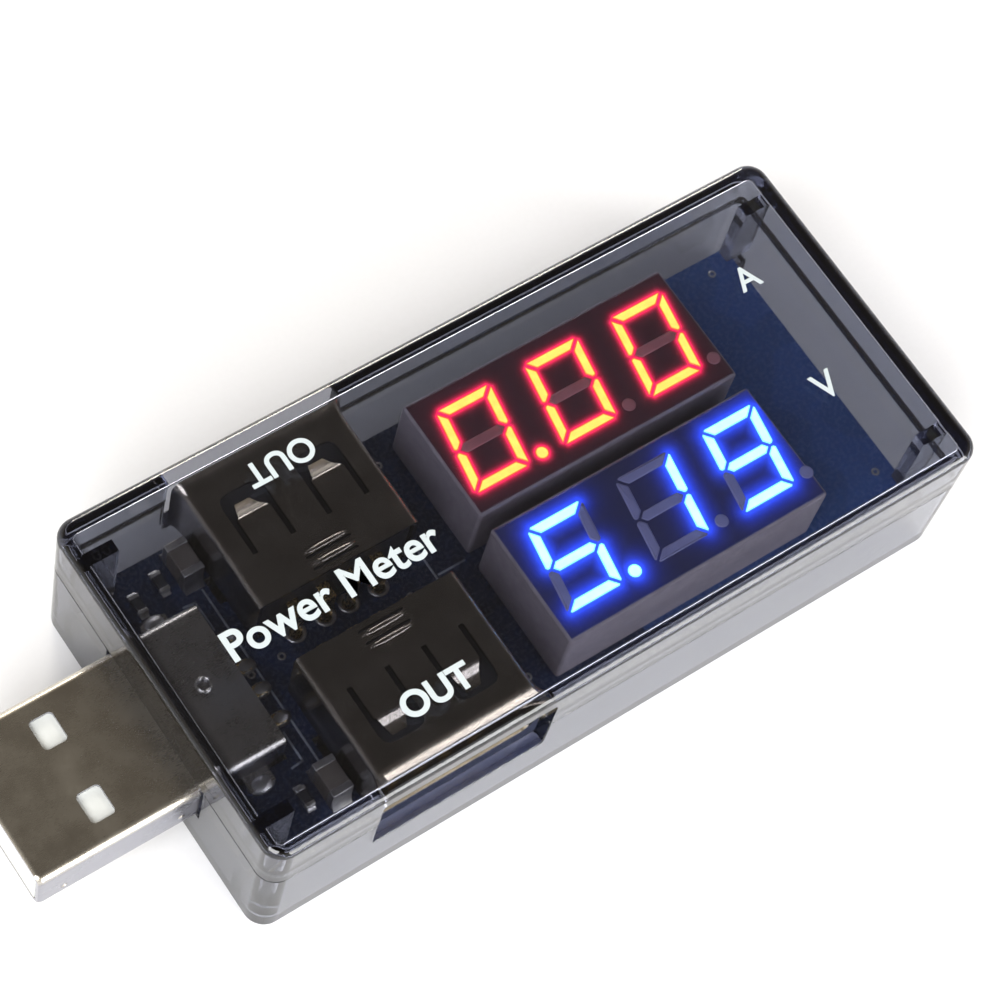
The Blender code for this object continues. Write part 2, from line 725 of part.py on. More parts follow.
def make_display_case(name, centre_y, material):
    """An open-bottomed case, with a hole in its face for each segment and dot."""
    mesh = bmesh.new()
    add_box(mesh, *display_box(centre_y, 0.0), (DISPLAY_BOTTOM, DISPLAY_TOP))
    case = place_part(f"{name}_display_case", mesh, material)
    cavity = bmesh.new()
    cavity_z = (DISPLAY_BOTTOM - THROUGH, DISPLAY_CEILING)
    add_box(cavity, *display_box(centre_y, DISPLAY_WALL), cavity_z)
    cut(case, helper(f"{name}_display_cavity", cavity))
    holes = bmesh.new()
    for outline in display_outlines(centre_y, 0.0):
        add_prism(holes, outline, DISPLAY_CEILING - THROUGH, DISPLAY_TOP + THROUGH)
    cut(case, helper(f"{name}_display_holes", holes))


def make_display_resin(name, centre_y, material):
    """Clear resin: it fills the case and stands in each segment's hole, up to the face."""
    mesh = bmesh.new()
    bottom = DISPLAY_BASE_TOP + SEAT_GAP
    top = DISPLAY_CEILING - SEAT_GAP
    add_box(mesh, *display_box(centre_y, DISPLAY_WALL + SEAT_GAP), (bottom, top))
    resin = place_part(f"{name}_display_resin", mesh, material)
    segments = bmesh.new()
    for outline in display_outlines(centre_y, SEAT_GAP):
        add_prism(segments, outline, DISPLAY_CEILING - THROUGH / 2, DISPLAY_TOP - SEAT_GAP)
    fuse(resin, helper(f"{name}_segments", segments))


def make_display_base(name, centre_y, material):
    """The display's own board at the bottom of the case, with two rows of pins."""
    mesh = bmesh.new()
    base_z = (DISPLAY_BOTTOM + SEAT_GAP, DISPLAY_BASE_TOP)
    add_box(mesh, *display_box(centre_y, DISPLAY_WALL + SEAT_GAP), base_z)
    base = place_part(f"{name}_display_base", mesh, material)
    pins = bmesh.new()
    half = DISPLAY_PIN_WIDTH / 2
    pin_z = (PIN_END, DISPLAY_BASE_TOP - DISPLAY_BASE_THICKNESS / 2)
    for x, y in display_pin_places():
        if abs(y - centre_y) < DISPLAY_WIDTH / 2:
            add_box(pins, (x - half, x + half), (y - half, y + half), pin_z)
    fuse(base, helper(f"{name}_display_pins", pins))


# Parts on the board. Sizes are along X, Y and Z.

def make_block(name, centre, size, bottom, material):
    """A plain rectangular component."""
    mesh = bmesh.new()
    x = (centre[0] - size[0] / 2, centre[0] + size[0] / 2)
    y = (centre[1] - size[1] / 2, centre[1] + size[1] / 2)
    add_box(mesh, x, y, (bottom, bottom + size[2]))
    return place_part(name, mesh, material)


def make_block_under(name, centre, size, material):
    return make_block(name, centre, size, BOARD_BOTTOM - SEAT_GAP - size[2], material)


def make_chip(name, centre, size, leg_places, material):
    """A chip under the board, with a straight leg at each of leg_places on both long sides."""
    chip = make_block_under(name, centre, size, material)
    legs = bmesh.new()
    leg_top = BOARD_BOTTOM - 2 * SEAT_GAP
    leg_ends = (size[1] / 2 - CHIP_LEG_LENGTH / 4, size[1] / 2 + CHIP_LEG_LENGTH)
    for place in leg_places:
        leg_x = (centre[0] + place - CHIP_LEG_WIDTH / 2, centre[0] + place + CHIP_LEG_WIDTH / 2)
        for side in (-1, 1):
            leg_y = sorted(centre[1] + side * end for end in leg_ends)
            add_box(legs, leg_x, leg_y, (leg_top - CHIP_LEG_SHEET, leg_top))
    fuse(chip, helper(f"{name}_legs", legs))


def make_components(chip_material, ceramic_material, resistor_material):
    on_top = BOARD_TOP + SEAT_GAP
    for name, side in (("near", -1), ("far", 1)):
        centre = (FILTER_CAPACITOR_X, side * FILTER_CAPACITOR_Y)
        make_block(f"{name}_filter_capacitor", centre, FILTER_CAPACITOR_SIZE, on_top, ceramic_material)
    for number, centre in enumerate(SIGNAL_RESISTOR_PLACES, 1):
        make_block(f"signal_resistor_{number}", centre, SIGNAL_RESISTOR_SIZE, on_top, resistor_material)

    middle = (CONTROLLER_LEG_COUNT - 1) / 2
    controller_legs = [CONTROLLER_LEG_PITCH * (leg - middle) for leg in range(CONTROLLER_LEG_COUNT)]
    controller_centre = (CONTROLLER_X, AMPS_CENTRE_Y)
    make_chip("controller_chip", controller_centre, CONTROLLER_SIZE, controller_legs, chip_material)
    regulator_centre = (REGULATOR_X, VOLTS_CENTRE_Y)
    make_chip("voltage_regulator", regulator_centre, REGULATOR_SIZE, REGULATOR_LEGS, chip_material)
    make_block_under("shunt_resistor", SHUNT_PLACE, SHUNT_SIZE, resistor_material)
    for number, x in enumerate(CHIP_CAPACITOR_X, 1):
        centre = (x, AMPS_CENTRE_Y)
        make_block_under(f"chip_capacitor_{number}", centre, CHIP_CAPACITOR_SIZE, ceramic_material)


def main():
    for obj in list(bpy.data.objects):
        bpy.data.objects.remove(obj)

    smoky_plastic = make_material("smoky_clear_plastic", (0.20, 0.19, 0.22), 0.12, alpha=0.45)
    board_blue = make_material("board_blue", (0.010, 0.022, 0.065), 0.35)
    plug_steel = make_material("plug_steel", (0.30, 0.28, 0.24), 0.32, metallic=1.0)
    port_steel = make_material("port_steel", (0.33, 0.30, 0.27), 0.30, metallic=1.0)
    white_plastic = make_material("white_plastic", (0.85, 0.86, 0.88), 0.45)
    contact_gold = make_material("contact_gold", (0.85, 0.62, 0.28), 0.25, metallic=1.0)
    case_grey = make_material("display_case_grey", (0.09, 0.08, 0.085), 0.5)
    red_resin = make_material("red_display_resin", (1.0, 0.25, 0.08), 0.35)
    blue_resin = make_material("blue_display_resin", (0.15, 0.50, 1.0), 0.35)
    base_green = make_material("display_base_board", (0.10, 0.16, 0.10), 0.5)
    chip_black = make_material("chip_black", (0.02, 0.02, 0.022), 0.55)
    ceramic_tan = make_material("capacitor_tan", (0.36, 0.27, 0.18), 0.4)
    resistor_black = make_material("resistor_black", (0.03, 0.03, 0.035), 0.35)

    opening_tool = make_opening_tool()
    make_upper_shell(opening_tool, smoky_plastic)
    make_lower_shell(opening_tool, smoky_plastic)
    make_circuit_board(board_blue)
    make_plug_shell(plug_steel)
    make_plug_insulator(white_plastic)
    make_plug_contacts(contact_gold)
    for name, side in (("near", -1), ("far", 1)):
        make_port_shell(name, side, port_steel)
        make_port_insulator(name, side, white_plastic)
        make_port_contacts(name, side, contact_gold)
    displays = (("amps", AMPS_CENTRE_Y, red_resin), ("volts", VOLTS_CENTRE_Y, blue_resin))
    for name, centre_y, resin in displays:
        make_display_case(name, centre_y, case_grey)
        make_display_resin(name, centre_y, resin)
        make_display_base(name, centre_y, base_green)
    make_components(chip_black, ceramic_tan, resistor_black)


main()
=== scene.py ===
"""Looks of the USB power meter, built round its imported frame.

Lengths are millimetres in the frame's axes: X runs along the case with the plug at -X, and Z goes up from
the case's underside. Meshes are built in metres. The outputs are called near (-Y) and far (+Y).
"""

import math

import bmesh
import bpy
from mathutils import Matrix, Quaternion, Vector


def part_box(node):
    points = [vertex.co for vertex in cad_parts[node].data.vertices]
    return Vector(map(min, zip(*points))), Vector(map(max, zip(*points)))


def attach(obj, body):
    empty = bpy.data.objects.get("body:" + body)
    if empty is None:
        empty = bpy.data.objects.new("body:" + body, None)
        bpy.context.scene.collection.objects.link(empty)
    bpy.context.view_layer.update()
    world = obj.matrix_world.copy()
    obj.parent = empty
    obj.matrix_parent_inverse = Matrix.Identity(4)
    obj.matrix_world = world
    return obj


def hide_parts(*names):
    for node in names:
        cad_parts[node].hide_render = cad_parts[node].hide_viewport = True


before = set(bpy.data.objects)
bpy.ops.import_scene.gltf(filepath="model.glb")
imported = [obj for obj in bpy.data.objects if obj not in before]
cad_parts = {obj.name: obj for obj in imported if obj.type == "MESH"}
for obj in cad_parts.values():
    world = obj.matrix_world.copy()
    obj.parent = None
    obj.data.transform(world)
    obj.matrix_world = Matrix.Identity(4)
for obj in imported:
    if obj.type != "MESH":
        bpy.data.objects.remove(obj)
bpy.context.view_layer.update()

MM = 0.001


def node_box(name):
    """Lowest and highest corner of a frame node, in millimetres."""
    low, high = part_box(name)
    return low / MM, high / MM


# Case, from the two shells' boxes
CASE_LOW = node_box("lower_shell")[0]
CASE_HIGH = node_box("upper_shell")[1]
CASE_CENTRE = (CASE_LOW + CASE_HIGH) / 2
CASE_SIZE = CASE_HIGH - CASE_LOW
CASE_WALL = 1.1
CASE_FLOOR = 1.2
CASE_CORNER_RADIUS = 1.6
CASE_EDGE_RADIUS = 0.7
# Painted shade in the plastic: darker tints on the underside and on the wall round the plug. These bands
# are where
# that painted shade fades out: upwards from the underside, past the wall round the plug, and along the
# underside from that wall
UNDERSIDE_SHADE_BAND = (0.0, 0.5)
END_WALL_SHADE_BAND = (1.15, 1.6)
PLUG_END_SHADE_BAND = (1.0, 8.0)
INNER_EDGE_RADIUS = 0.15
PARTING_GAP = 0.1
PARTING_CHAMFER = 0.08
REBATE_DEPTH = 0.9
REBATE_WALL = 0.55
LIP_CLEARANCE = 0.1
RIB_THICKNESS = 1.0
RIB_REACH = 2.3
RIB_OUTER_Y = 11.5
OPENING_WIDTH = 14.4
OPENING_HEIGHT = 6.7
OPENING_CENTRE_HEIGHT = 9.2
OPENING_RADIUS = 0.4
NOTCH_CLEARANCE = 0.15

# Board
BOARD_LOW, BOARD_HIGH = node_box("circuit_board")
BOARD_TOP = BOARD_HIGH.z
BOARD_BOTTOM = BOARD_LOW.z
SEAT_GAP = 0.05
# Past here the board's lacquer is a lighter blue: painted light, standing in for the displays' glow on the
# board
DISPLAY_GLOW_EDGE = (10.0, 10.1)
INK_THICKNESS = 0.03
PAD_THICKNESS = 0.04
# Tinned rings round the output pins and the vias: radius, and height over the board
PIN_RING = ((0.8, 0.0), (0.8, PAD_THICKNESS), (0.5, PAD_THICKNESS), (0.5, 0.0))
VIA_RING = ((0.32, 0.0), (0.3, PAD_THICKNESS), (0.17, PAD_THICKNESS), (0.15, 0.0))
INK_LINE_WIDTH = 0.16
# Printed lines on the board's top: corner marks round the plug's back, and a line beside the outputs
INK_LINES = (
    ((-16.4, 4.5), (-16.4, 6.9)),
    ((-16.4, 6.9), (-17.3, 7.0)),
    ((-16.4, -4.5), (-16.4, -6.9)),
    ((-16.4, -6.9), (-17.3, -7.0)),
    ((-15.45, 7.5), (-15.45, -7.7)),
    ((-0.6, 11.0), (-0.6, -11.0)),
    ((1.9, 0.0), (-0.3, 0.0)),
)
VIA_PLACES = (
    (-21.2, 10.6), (-20.2, 5.6), (-19.0, 6.5), (-21.4, -9.0), (-16.0, 0.3), (-13.4, 0.4), (-3.0, -0.4),
    (0.7, 9.4), (0.7, -9.8), (31.8, 10.2), (32.6, -9.6),
)

# Solder blobs: radii along X and Y, and height
TAB_SOLDER = ((1.1, 0.7), 0.5)
PIN_SOLDER = ((0.75, 0.75), 0.85)
LEG_SOLDER = ((0.8, 1.3), 0.9)
FOOT_SOLDER = ((0.85, 0.62), 0.4)
DISPLAY_SOLDER = ((0.6, 0.6), 0.8)
FOOT_FROM_BACK = 0.3

# Chip resistors and capacitors. The fillet's points are shares of its reach and of its rise.
CAP_SHARE = 0.2
BODY_INSET = 0.04
FILLET_INSET = 0.06
FILLET_RISE = 0.55
FILLET_REACH = 0.6
FILLET_MOST = 0.45
FILLET_CURVE = ((0.0, 0.0), (1.0, 0.0), (0.45, 0.25), (0.15, 0.6), (0.0, 1.0))

# Chips under the board. LEAD_PLACES says where their leads are along X, from the middle.
LEAD_LENGTH = 0.9
LEAD_WIDTH = 0.24
LEAD_THICKNESS = 0.16
# A lead's two bends, from the body's side, along its lower face and its upper face
LEAD_BENDS_UNDER = (0.25, 0.42)
LEAD_BENDS_OVER = (0.3, 0.13)
LEAD_PLACES = {
    "controller_chip": [0.65 * (lead - 4.5) for lead in range(10)],
    "voltage_regulator": [-0.95, 0.95],
}

# Frame nodes that are shown as they are, with their edges rounded a little
SOFT_ENDINGS = ("insulator", "display_base")

# How far sharp edges are rounded
NODE_EDGE = 0.06
PLUG_EDGE = 0.05
PLUG_FRONT_EDGE = 0.12
PORT_EDGE = 0.04
DISPLAY_EDGE = 0.28
CAP_EDGE = 0.07
SOLDER_EDGE = 0.05
CHIP_EDGE = 0.08
LEAD_EDGE = 0.03

# Plug
PLUG_LOW, PLUG_HIGH = node_box("plug_shell")
PLUG_WIDTH = 12.0
PLUG_HEIGHT = PLUG_HIGH.z - PLUG_LOW.z
PLUG_CORNER_RADIUS = 0.7
PLUG_LEAD_IN_LENGTH = 0.35
PLUG_LEAD_IN_DEPTH = 0.12
SHEET = 0.3
PLUG_WINDOW_FROM_TIP = 5.15
PLUG_WINDOW_LENGTH = 1.85
PLUG_WINDOW_WIDTH = 2.4
PLUG_WINDOW_RADIUS = 0.35
PLUG_WINDOW_OFFSET = 3.05
FORMED_HOLE_FROM_TIP = 16.75
FORMED_HOLE_Y = 0.4
FORMED_HOLE_RADIUS = 0.36
FORMED_HOLE_DEPTH = 0.2
PLUG_TAB_FROM_BACK = (1.4, 3.4)
PLUG_TAB_REACH = 1.2
# The raised ring round the formed hole: radius, and height over the plug's top
HOLE_COLLAR = (
    (0.66, -0.02), (0.6, 0.07), (0.5, 0.12), (0.42, 0.08), (0.36, -0.02), (0.36, -0.1), (0.66, -0.1),
)
# Small pressed bumps on the plug's sides: distance from the tip, height, radius
PLUG_BUMPS = ((2.0, 6.1, 0.26), (11.2, 6.4, 0.3))
PLUG_BUMP_RISE = 0.12
PLUG_SEAM_WIDTH = 0.08
PARTING_HEIGHT = PLUG_HIGH.z

# Outputs. Depth is the distance from the middle of the case, towards the output's opening.
PORT_LOW, PORT_HIGH = node_box("far_port_shell")
PORT_WIDTH = 13.2
PORT_HEIGHT = 5.8
PORT_FLARE = 0.4
PORT_CENTRE_X = (PORT_LOW.x + PORT_HIGH.x) / 2
PORT_TOP = PORT_HIGH.z - PORT_FLARE
PORT_CENTRE_HEIGHT = PORT_TOP - PORT_HEIGHT / 2
PORT_CORNER_RADIUS = 0.5
PORT_REAR = PORT_LOW.y
PORT_FRONT = PORT_HIGH.y
PORT_FLARE_LENGTH = 1.2
PORT_FLARE_STEPS = 6
PORT_FLARE_CURVE = 1.8
LEAF_CENTRE = 3.05
LEAF_SLOT_OFFSET = 1.55
LEAF_SLOT_WIDTH = 0.45
LEAF_ROOT = 5.8
LEAF_BEND = 8.6
LEAF_WINDOW_END = 10.7
# A rounded corner of a leaf's window, from where the corner would be: across, and back from its end
LEAF_WINDOW_CORNER = ((-0.95, 0.0), (-0.4, -0.12), (-0.12, -0.4), (0.0, -0.95))
# Lengths along a leaf past its bend, and how steeply each one falls, in degrees
LEAF_SLOPES = ((0.15, 22.0), (0.3, 45.0), (0.3, 42.0), (0.2, 32.0), (0.5, 26.0), (0.2, 18.0))
LEAF_TIP_NARROWING = 0.6
SLIT_LENGTH = 3.7
SLIT_WIDTH = 0.2
SLIT_PLACES = (2.75, 3.75)
RIDGE_OFFSET = 0.36
RIDGE_WIDTH = 0.44
RIDGE_HEIGHT = 0.16
CONTACT_PLACES = (-3.5, -1.0, 1.0, 3.5)
PIN_ROW = 1.4
LEG_START = 6.2
LEG_WIDTH = 1.6
LEG_ROOT_HEIGHT = 1.2
PIN_END = PORT_LOW.z

# Displays
DISPLAY_WALL = 0.8
DISPLAY_FACE = 1.0
DISPLAY_PIN_PITCH = 2.54
DISPLAY_PINS_PER_ROW = 6
DISPLAY_ROW_OFFSET = 3.81
FILM_INSET = 0.2
FILM_CELL = 0.13
FILM_THICKNESS = 0.06
FIRST_DIGIT_X = 3.6
DIGIT_PITCH = 7.68
DIGIT_HEIGHT = 7.1
DIGIT_WIDTH = 5.0
DIGIT_SHIFT = {"amps": (0.0, 0.0), "volts": (0.4, 0.25)}
SEGMENT_WIDTH = 0.98
SEGMENT_CHAMFER = 0.42
SEGMENT_GAP = 0.2
SEGMENT_RIM = 0.14
SEGMENT_RISE = 0.03
# The attribute core, at a segment's foot, at its edge and on its top
CORE_SHARES = (0.0, 0.3, 1.0)
DIGIT_SLANT = math.radians(9.5)
DOT_OFFSET_X = 3.05
DOT_RADIUS = 0.52
GLOW_STRENGTH = 15.0
# Light that leaks round lit segments: a close glow and its reach, then a wide glow and its reach
HALOS = {"amps": (4.5, 0.13, 0.05, 1.6), "volts": (3.4, 0.38, 0.10, 2.4)}
READINGS = {"amps": "0.00", "volts": "5.19"}
SEGMENTS_OF = {"0": "abcdef", "1": "bc", "5": "acdfg", "9": "abcdfg"}

# Words on the cover: the text, its middle from the case's plug end, width, turn and added stroke width
WORDS = {
    "amps_letter": ("A", (54.1, 5.9), 1.9, 0.0, 0.01),
    "volts_letter": ("V", (53.9, -4.2), 1.9, 0.0, 0.01),
    "near_output_word": ("OUT", (16.05, -9.5), 5.6, 0.0, 0.03),
    "far_output_word": ("OUT", (16.35, 10.55), 5.4, math.pi, 0.02),
    "purpose_words": ("Power Meter", (14.0, 0.25), 17.2, 0.0, 0.019),
}
LETTER_THICKNESS = 0.01

# Camera: where it looks, from how far and from which side
CAMERA_TARGET = (5.83, 1.79, 9.3)
CAMERA_DISTANCE = 228.95
CAMERA_AZIMUTH = math.radians(-51.84)
CAMERA_ELEVATION = math.radians(62.18)
CAMERA_ROLL = math.radians(19.385)
CAMERA_LENS = 115.375

# The studio's brightness by the height of a direction: pale near the horizon, warmer above, dim overhead.
SKY = (
    (0.0, (0.96, 0.99, 1.08)),
    (0.28, (1.04, 1.02, 0.98)),
    (0.5, (0.66, 0.60, 0.52)),
    (0.7, (0.36, 0.31, 0.25)),
    (0.85, (0.11, 0.097, 0.083)),
)

WHITE_LIGHT = (1.0, 1.0, 1.0)
# Soft square lamps: the direction each shines from, its distance, size, power in watts and colour
LAMPS = {
    "key": ((-0.75, -0.35, 0.75), 700, 420, 5.8, WHITE_LIGHT),
    "near_lamp": ((0.33, -0.9, 0.27), 600, 400, 4.6, WHITE_LIGHT),
    "far_lamp": ((0.367, 0.86, 0.38), 600, 200, 1.9, (1.0, 0.95, 0.85)),
}
FLOOR_HALF = 1500.0
FLOOR_THICKNESS = 3.0
FLOOR_GAP = 0.05

CORNER_STEPS = 16
EDGE_STEPS = 8
CIRCLE_STEPS = 32
# How far a cutter reaches past what it cuts, and how deep a joined shape starts inside its piece
THROUGH = 1.0
BURIED = 0.02
DOWN = (0, 0, -1)


# Outlines, as lists of (a, b) points in millimetres

def rounded_rectangle(centre, width, height, radius, steps=6):
    points = []
    for corner, (side_a, side_b) in enumerate(((1, 1), (-1, 1), (-1, -1), (1, -1))):
        middle_a = centre[0] + side_a * (width / 2 - radius)
        middle_b = centre[1] + side_b * (height / 2 - radius)
        for step in range(steps + 1):
            angle = math.pi / 2 * (corner + step / steps)
            points.append((middle_a + radius * math.cos(angle), middle_b + radius * math.sin(angle)))
    return points


def circle(centre, radius, steps=CIRCLE_STEPS):
    angles = [2 * math.pi * step / steps for step in range(steps)]
    return [(centre[0] + radius * math.cos(a), centre[1] + radius * math.sin(a)) for a in angles]


def rectangle(first, second):
    return [(first[0], first[1]), (second[0], first[1]), (second[0], second[1]), (first[0], second[1])]


def case_plan(inset):
    """The case's outline from above, drawn in."""
    width = CASE_SIZE.x - 2 * inset
    height = CASE_SIZE.y - 2 * inset
    return rounded_rectangle(CASE_CENTRE.xy, width, height, CASE_CORNER_RADIUS - inset, CORNER_STEPS)


# Meshes

def add_loft(mesh, rings, closed=False):
    """Joins rings of places with quads, capped or closed on itself, and returns each ring's vertices."""
    loops = [[mesh.verts.new(Vector(place) * MM) for place in ring] for ring in rings]
    faces = []
    for first, second in zip(loops, loops[1:] + loops[:1] if closed else loops[1:]):
        for index in range(len(first)):
            after = (index + 1) % len(first)
            faces.append(mesh.faces.new((first[index], first[after], second[after], second[index])))
    if not closed:
        faces += [mesh.faces.new(loops[0]), mesh.faces.new(loops[-1])]
    bmesh.ops.recalc_face_normals(mesh, faces=faces)
    return loops


def add_prism(mesh, outline, low, high, axis="Z"):
    """A prism of a closed outline. Its points are (X, Y) for axis Z, (Y, Z) for X and (X, Z) for Y."""
    along = {
        "Z": lambda a, b, level: (a, b, level),
        "X": lambda a, b, level: (level, a, b),
        "Y": lambda a, b, level: (a, level, b),
    }[axis]
    add_loft(mesh, [[along(a, b, level) for a, b in outline] for level in (low, high)])


def add_box(mesh, x, y, z):
    add_prism(mesh, rectangle((x[0], y[0]), (x[1], y[1])), z[0], z[1])


def add_dome(mesh, centre, radii, height, up=(0, 0, 1), steps=4):
    """A low blob that stands on centre. Its outline is an ellipse."""
    rings = []
    for step in range(steps + 1):
        angle = math.pi / 2 * step / (steps + 0.3)
        level = height * math.sin(angle)
        outline = circle((0.0, 0.0), math.cos(angle), 16)
        rings.append([(a * radii[0], b * radii[1], level) for a, b in outline])
    turn = Vector((0, 0, 1)).rotation_difference(Vector(up))
    add_loft(mesh, [[Vector(centre) + turn @ Vector(place) for place in ring] for ring in rings])


def add_turned(mesh, centre, profile, up=1):
    """A ring turned about an upright axis. Its profile's points are (radius, height)."""
    rings = []
    for radius, height in profile:
        rings.append([(x, y, centre[2] + up * height) for x, y in circle(centre, radius, 24)])
    add_loft(mesh, rings, closed=True)


def add_line(mesh, start, end, width, low, high):
    """A straight printed line between two places on a level."""
    along = (Vector(end) - Vector(start)).normalized()
    aside = Vector((-along.y, along.x)) * width / 2
    first = Vector(start) - along * width / 2
    last = Vector(end) + along * width / 2
    add_prism(mesh, [first - aside, last - aside, last + aside, first + aside], low, high)


def new_object(name, data):
    obj = bpy.data.objects.new(name, data)
    bpy.context.scene.collection.objects.link(obj)
    return obj


def new_solid(name, mesh):
    data = bpy.data.meshes.new(name)
    mesh.to_mesh(data)
    mesh.free()
    return new_object(name, data)


def new_piece(name, mesh, material):
    """A piece of the object, smooth shaded, riding on the only body."""
    piece = new_solid(name, mesh)
    piece.data.materials.append(material)
    piece.data.shade_smooth()
    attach(piece, "root")
    return piece


def shape(piece, mesh, operation):
    """Cuts a mesh from a piece, or joins one to it."""
    tool = new_solid("tool", mesh)
    modifier = piece.modifiers.new("shape", "BOOLEAN")
    modifier.operation = operation
    modifier.object = tool
    graph = bpy.context.evaluated_depsgraph_get()
    shaped = bpy.data.meshes.new_from_object(piece.evaluated_get(graph))
    piece.modifiers.clear()
    piece.data = shaped
    bpy.data.objects.remove(tool)


def cut(piece, mesh):
    shape(piece, mesh, "DIFFERENCE")


def fuse(piece, mesh):
    shape(piece, mesh, "UNION")


def soften(piece, width, segments=2, angle=35):
    """Rounds a piece's sharp edges a little, and keeps its flat faces flat."""
    bevel = piece.modifiers.new("soft_edges", "BEVEL")
    bevel.width = width * MM
    bevel.segments = segments
    bevel.limit_method = "ANGLE"
    bevel.angle_limit = math.radians(angle)
    flatten(piece)


def flatten(piece):
    piece.data.shade_smooth()
    piece.data.set_sharp_from_angle(angle=math.radians(40))
    piece.modifiers.new("flat_faces", "WEIGHTED_NORMAL").keep_sharp = True


# Materials

def wire(tree, kind, inputs=None, **settings):
    """A new node. An input is a plain value, or another node's output."""
    node = tree.nodes.new(kind)
    for name, value in settings.items():
        setattr(node, name, value)
    for name, value in (inputs or {}).items():
        if isinstance(value, bpy.types.NodeSocket):
            tree.links.new(value, node.inputs[name])
        else:
            node.inputs[name].default_value = value
    return node


def new_material(name, colour, roughness, metallic=0.0):
    material = bpy.data.materials.new(name)
    material.use_nodes = True
    shader = material.node_tree.nodes["Principled BSDF"]
    shader.inputs["Base Color"].default_value = (*colour, 1.0)
    shader.inputs["Roughness"].default_value = roughness
    shader.inputs["Metallic"].default_value = metallic
    return material, material.node_tree, shader


def grain(tree, size, stretch=(1.0, 1.0, 1.0), detail=3.0, roughness=0.5):
    """Noise whose features are about size millimetres wide, made longer along each axis by stretch."""
    place = wire(tree, "ShaderNodeTexCoord").outputs["Object"]
    scale = [1 / (MM * size * long) for long in stretch]
    mapped = wire(tree, "ShaderNodeMapping", {"Vector": place, "Scale": scale})
    inputs = {"Vector": mapped.outputs["Vector"], "Scale": 1.0, "Detail": detail, "Roughness": roughness}
    return wire(tree, "ShaderNodeTexNoise", inputs).outputs["Fac"]


def spread(tree, value, low, high, start=0.3, end=0.7):
    """Maps a value's range from start to end to low and high. Noise mostly lies in the given range."""
    inputs = {"Value": value, "From Min": start, "From Max": end, "To Min": low, "To Max": high}
    return wire(tree, "ShaderNodeMapRange", inputs).outputs["Result"]


def calculate(tree, operation, *values):
    """The result of one operation on plain values or other nodes' outputs."""
    return wire(tree, "ShaderNodeMath", dict(enumerate(values)), operation=operation).outputs[0]


def component(tree, vector, axis):
    return wire(tree, "ShaderNodeSeparateXYZ", {0: vector}).outputs[axis]


def flatness(tree):
    """1 on level faces, and 0 on upright ones."""
    normal = wire(tree, "ShaderNodeNewGeometry").outputs["True Normal"]
    return calculate(tree, "ABSOLUTE", component(tree, normal, "Z"))


def fade(tree, axis, start, end):
    """A share that falls from 1 to 0 between two places along an axis."""
    position = wire(tree, "ShaderNodeNewGeometry").outputs["Position"]
    return spread(tree, component(tree, position, axis), 1.0, 0.0, start * MM, end * MM)


def blend_colours(tree, factor, first, second):
    node = wire(tree, "ShaderNodeMix", data_type="RGBA")
    for socket, value in ((0, factor), (6, first), (7, second)):
        if isinstance(value, bpy.types.NodeSocket):
            tree.links.new(value, node.inputs[socket])
        else:
            node.inputs[socket].default_value = value if socket == 0 else (*value, 1.0)
    return node.outputs[2]


def emboss(tree, shader, height, depth, strength=1.0):
    inputs = {"Height": height, "Distance": depth * MM, "Strength": strength}
    normal = wire(tree, "ShaderNodeBump", inputs).outputs["Normal"]
    tree.links.new(normal, shader.inputs["Normal"])


def textured(name, dark, light, roughness, metallic=0.0, size=0.6, stretch=(1, 1, 1), depth=0.004):
    """A material whose colour and roughness drift over coarse grain, with fine grain as bump."""
    material, tree, shader = new_material(name, light, roughness[0], metallic)
    coarse = spread(tree, grain(tree, 6 * size, stretch), 0.0, 1.0)
    fine = grain(tree, size, stretch, detail=6.0, roughness=0.65)
    tree.links.new(blend_colours(tree, coarse, dark, light), shader.inputs["Base Color"])
    tree.links.new(spread(tree, fine, *roughness), shader.inputs["Roughness"])
    emboss(tree, shader, fine, depth)
    return material


def smoky_plastic():
    """Clear grey plastic, darker where it's thick. Lamps shine through it onto the parts inside.

    The underside and the wall round the plug have darker tints, painted shade, so that less of the pale
    floor shows there.
    """
    tint = (0.595, 0.61, 0.65)
    # Painted shade: darker tints for the wall round the plug and for the underside, darkest on the
    # underside by the plug
    end_wall_shade_tint = (0.33, 0.34, 0.37)
    underside_shade_tint = (0.31, 0.325, 0.385)
    plug_end_underside_shade_tint = (0.12, 0.125, 0.14)
    material, tree, shader = new_material("smoky_clear_plastic", tint, 0.05)
    shader.inputs["Transmission Weight"].default_value = 1.0
    shader.inputs["IOR"].default_value = 1.58
    emboss(tree, shader, grain(tree, 7.0, detail=1.0), 0.02, 0.35)
    end_wall_shade_share = fade(tree, "X", *(CASE_LOW.x + inset for inset in END_WALL_SHADE_BAND))
    plug_end_shade_share = fade(tree, "X", *(CASE_LOW.x + inset for inset in PLUG_END_SHADE_BAND))
    upper = blend_colours(tree, end_wall_shade_share, tint, end_wall_shade_tint)
    lower = blend_colours(tree, plug_end_shade_share, underside_shade_tint, plug_end_underside_shade_tint)
    colour = blend_colours(tree, fade(tree, "Z", *UNDERSIDE_SHADE_BAND), upper, lower)
    tree.links.new(colour, shader.inputs["Base Color"])
    for_lamps = wire(tree, "ShaderNodeBsdfTransparent", {"Color": colour})
    shadow = wire(tree, "ShaderNodeLightPath").outputs["Is Shadow Ray"]
    surfaces = {0: shadow, 1: shader.outputs[0], 2: for_lamps.outputs[0]}
    both = wire(tree, "ShaderNodeMixShader", surfaces)
    absorbed = {"Color": (0.445, 0.465, 0.595, 1.0), "Density": 300.0}
    inside = wire(tree, "ShaderNodeVolumeAbsorption", absorbed)
    output = tree.nodes["Material Output"]
    tree.links.new(both.outputs[0], output.inputs["Surface"])
    tree.links.new(inside.outputs[0], output.inputs["Volume"])
    return material


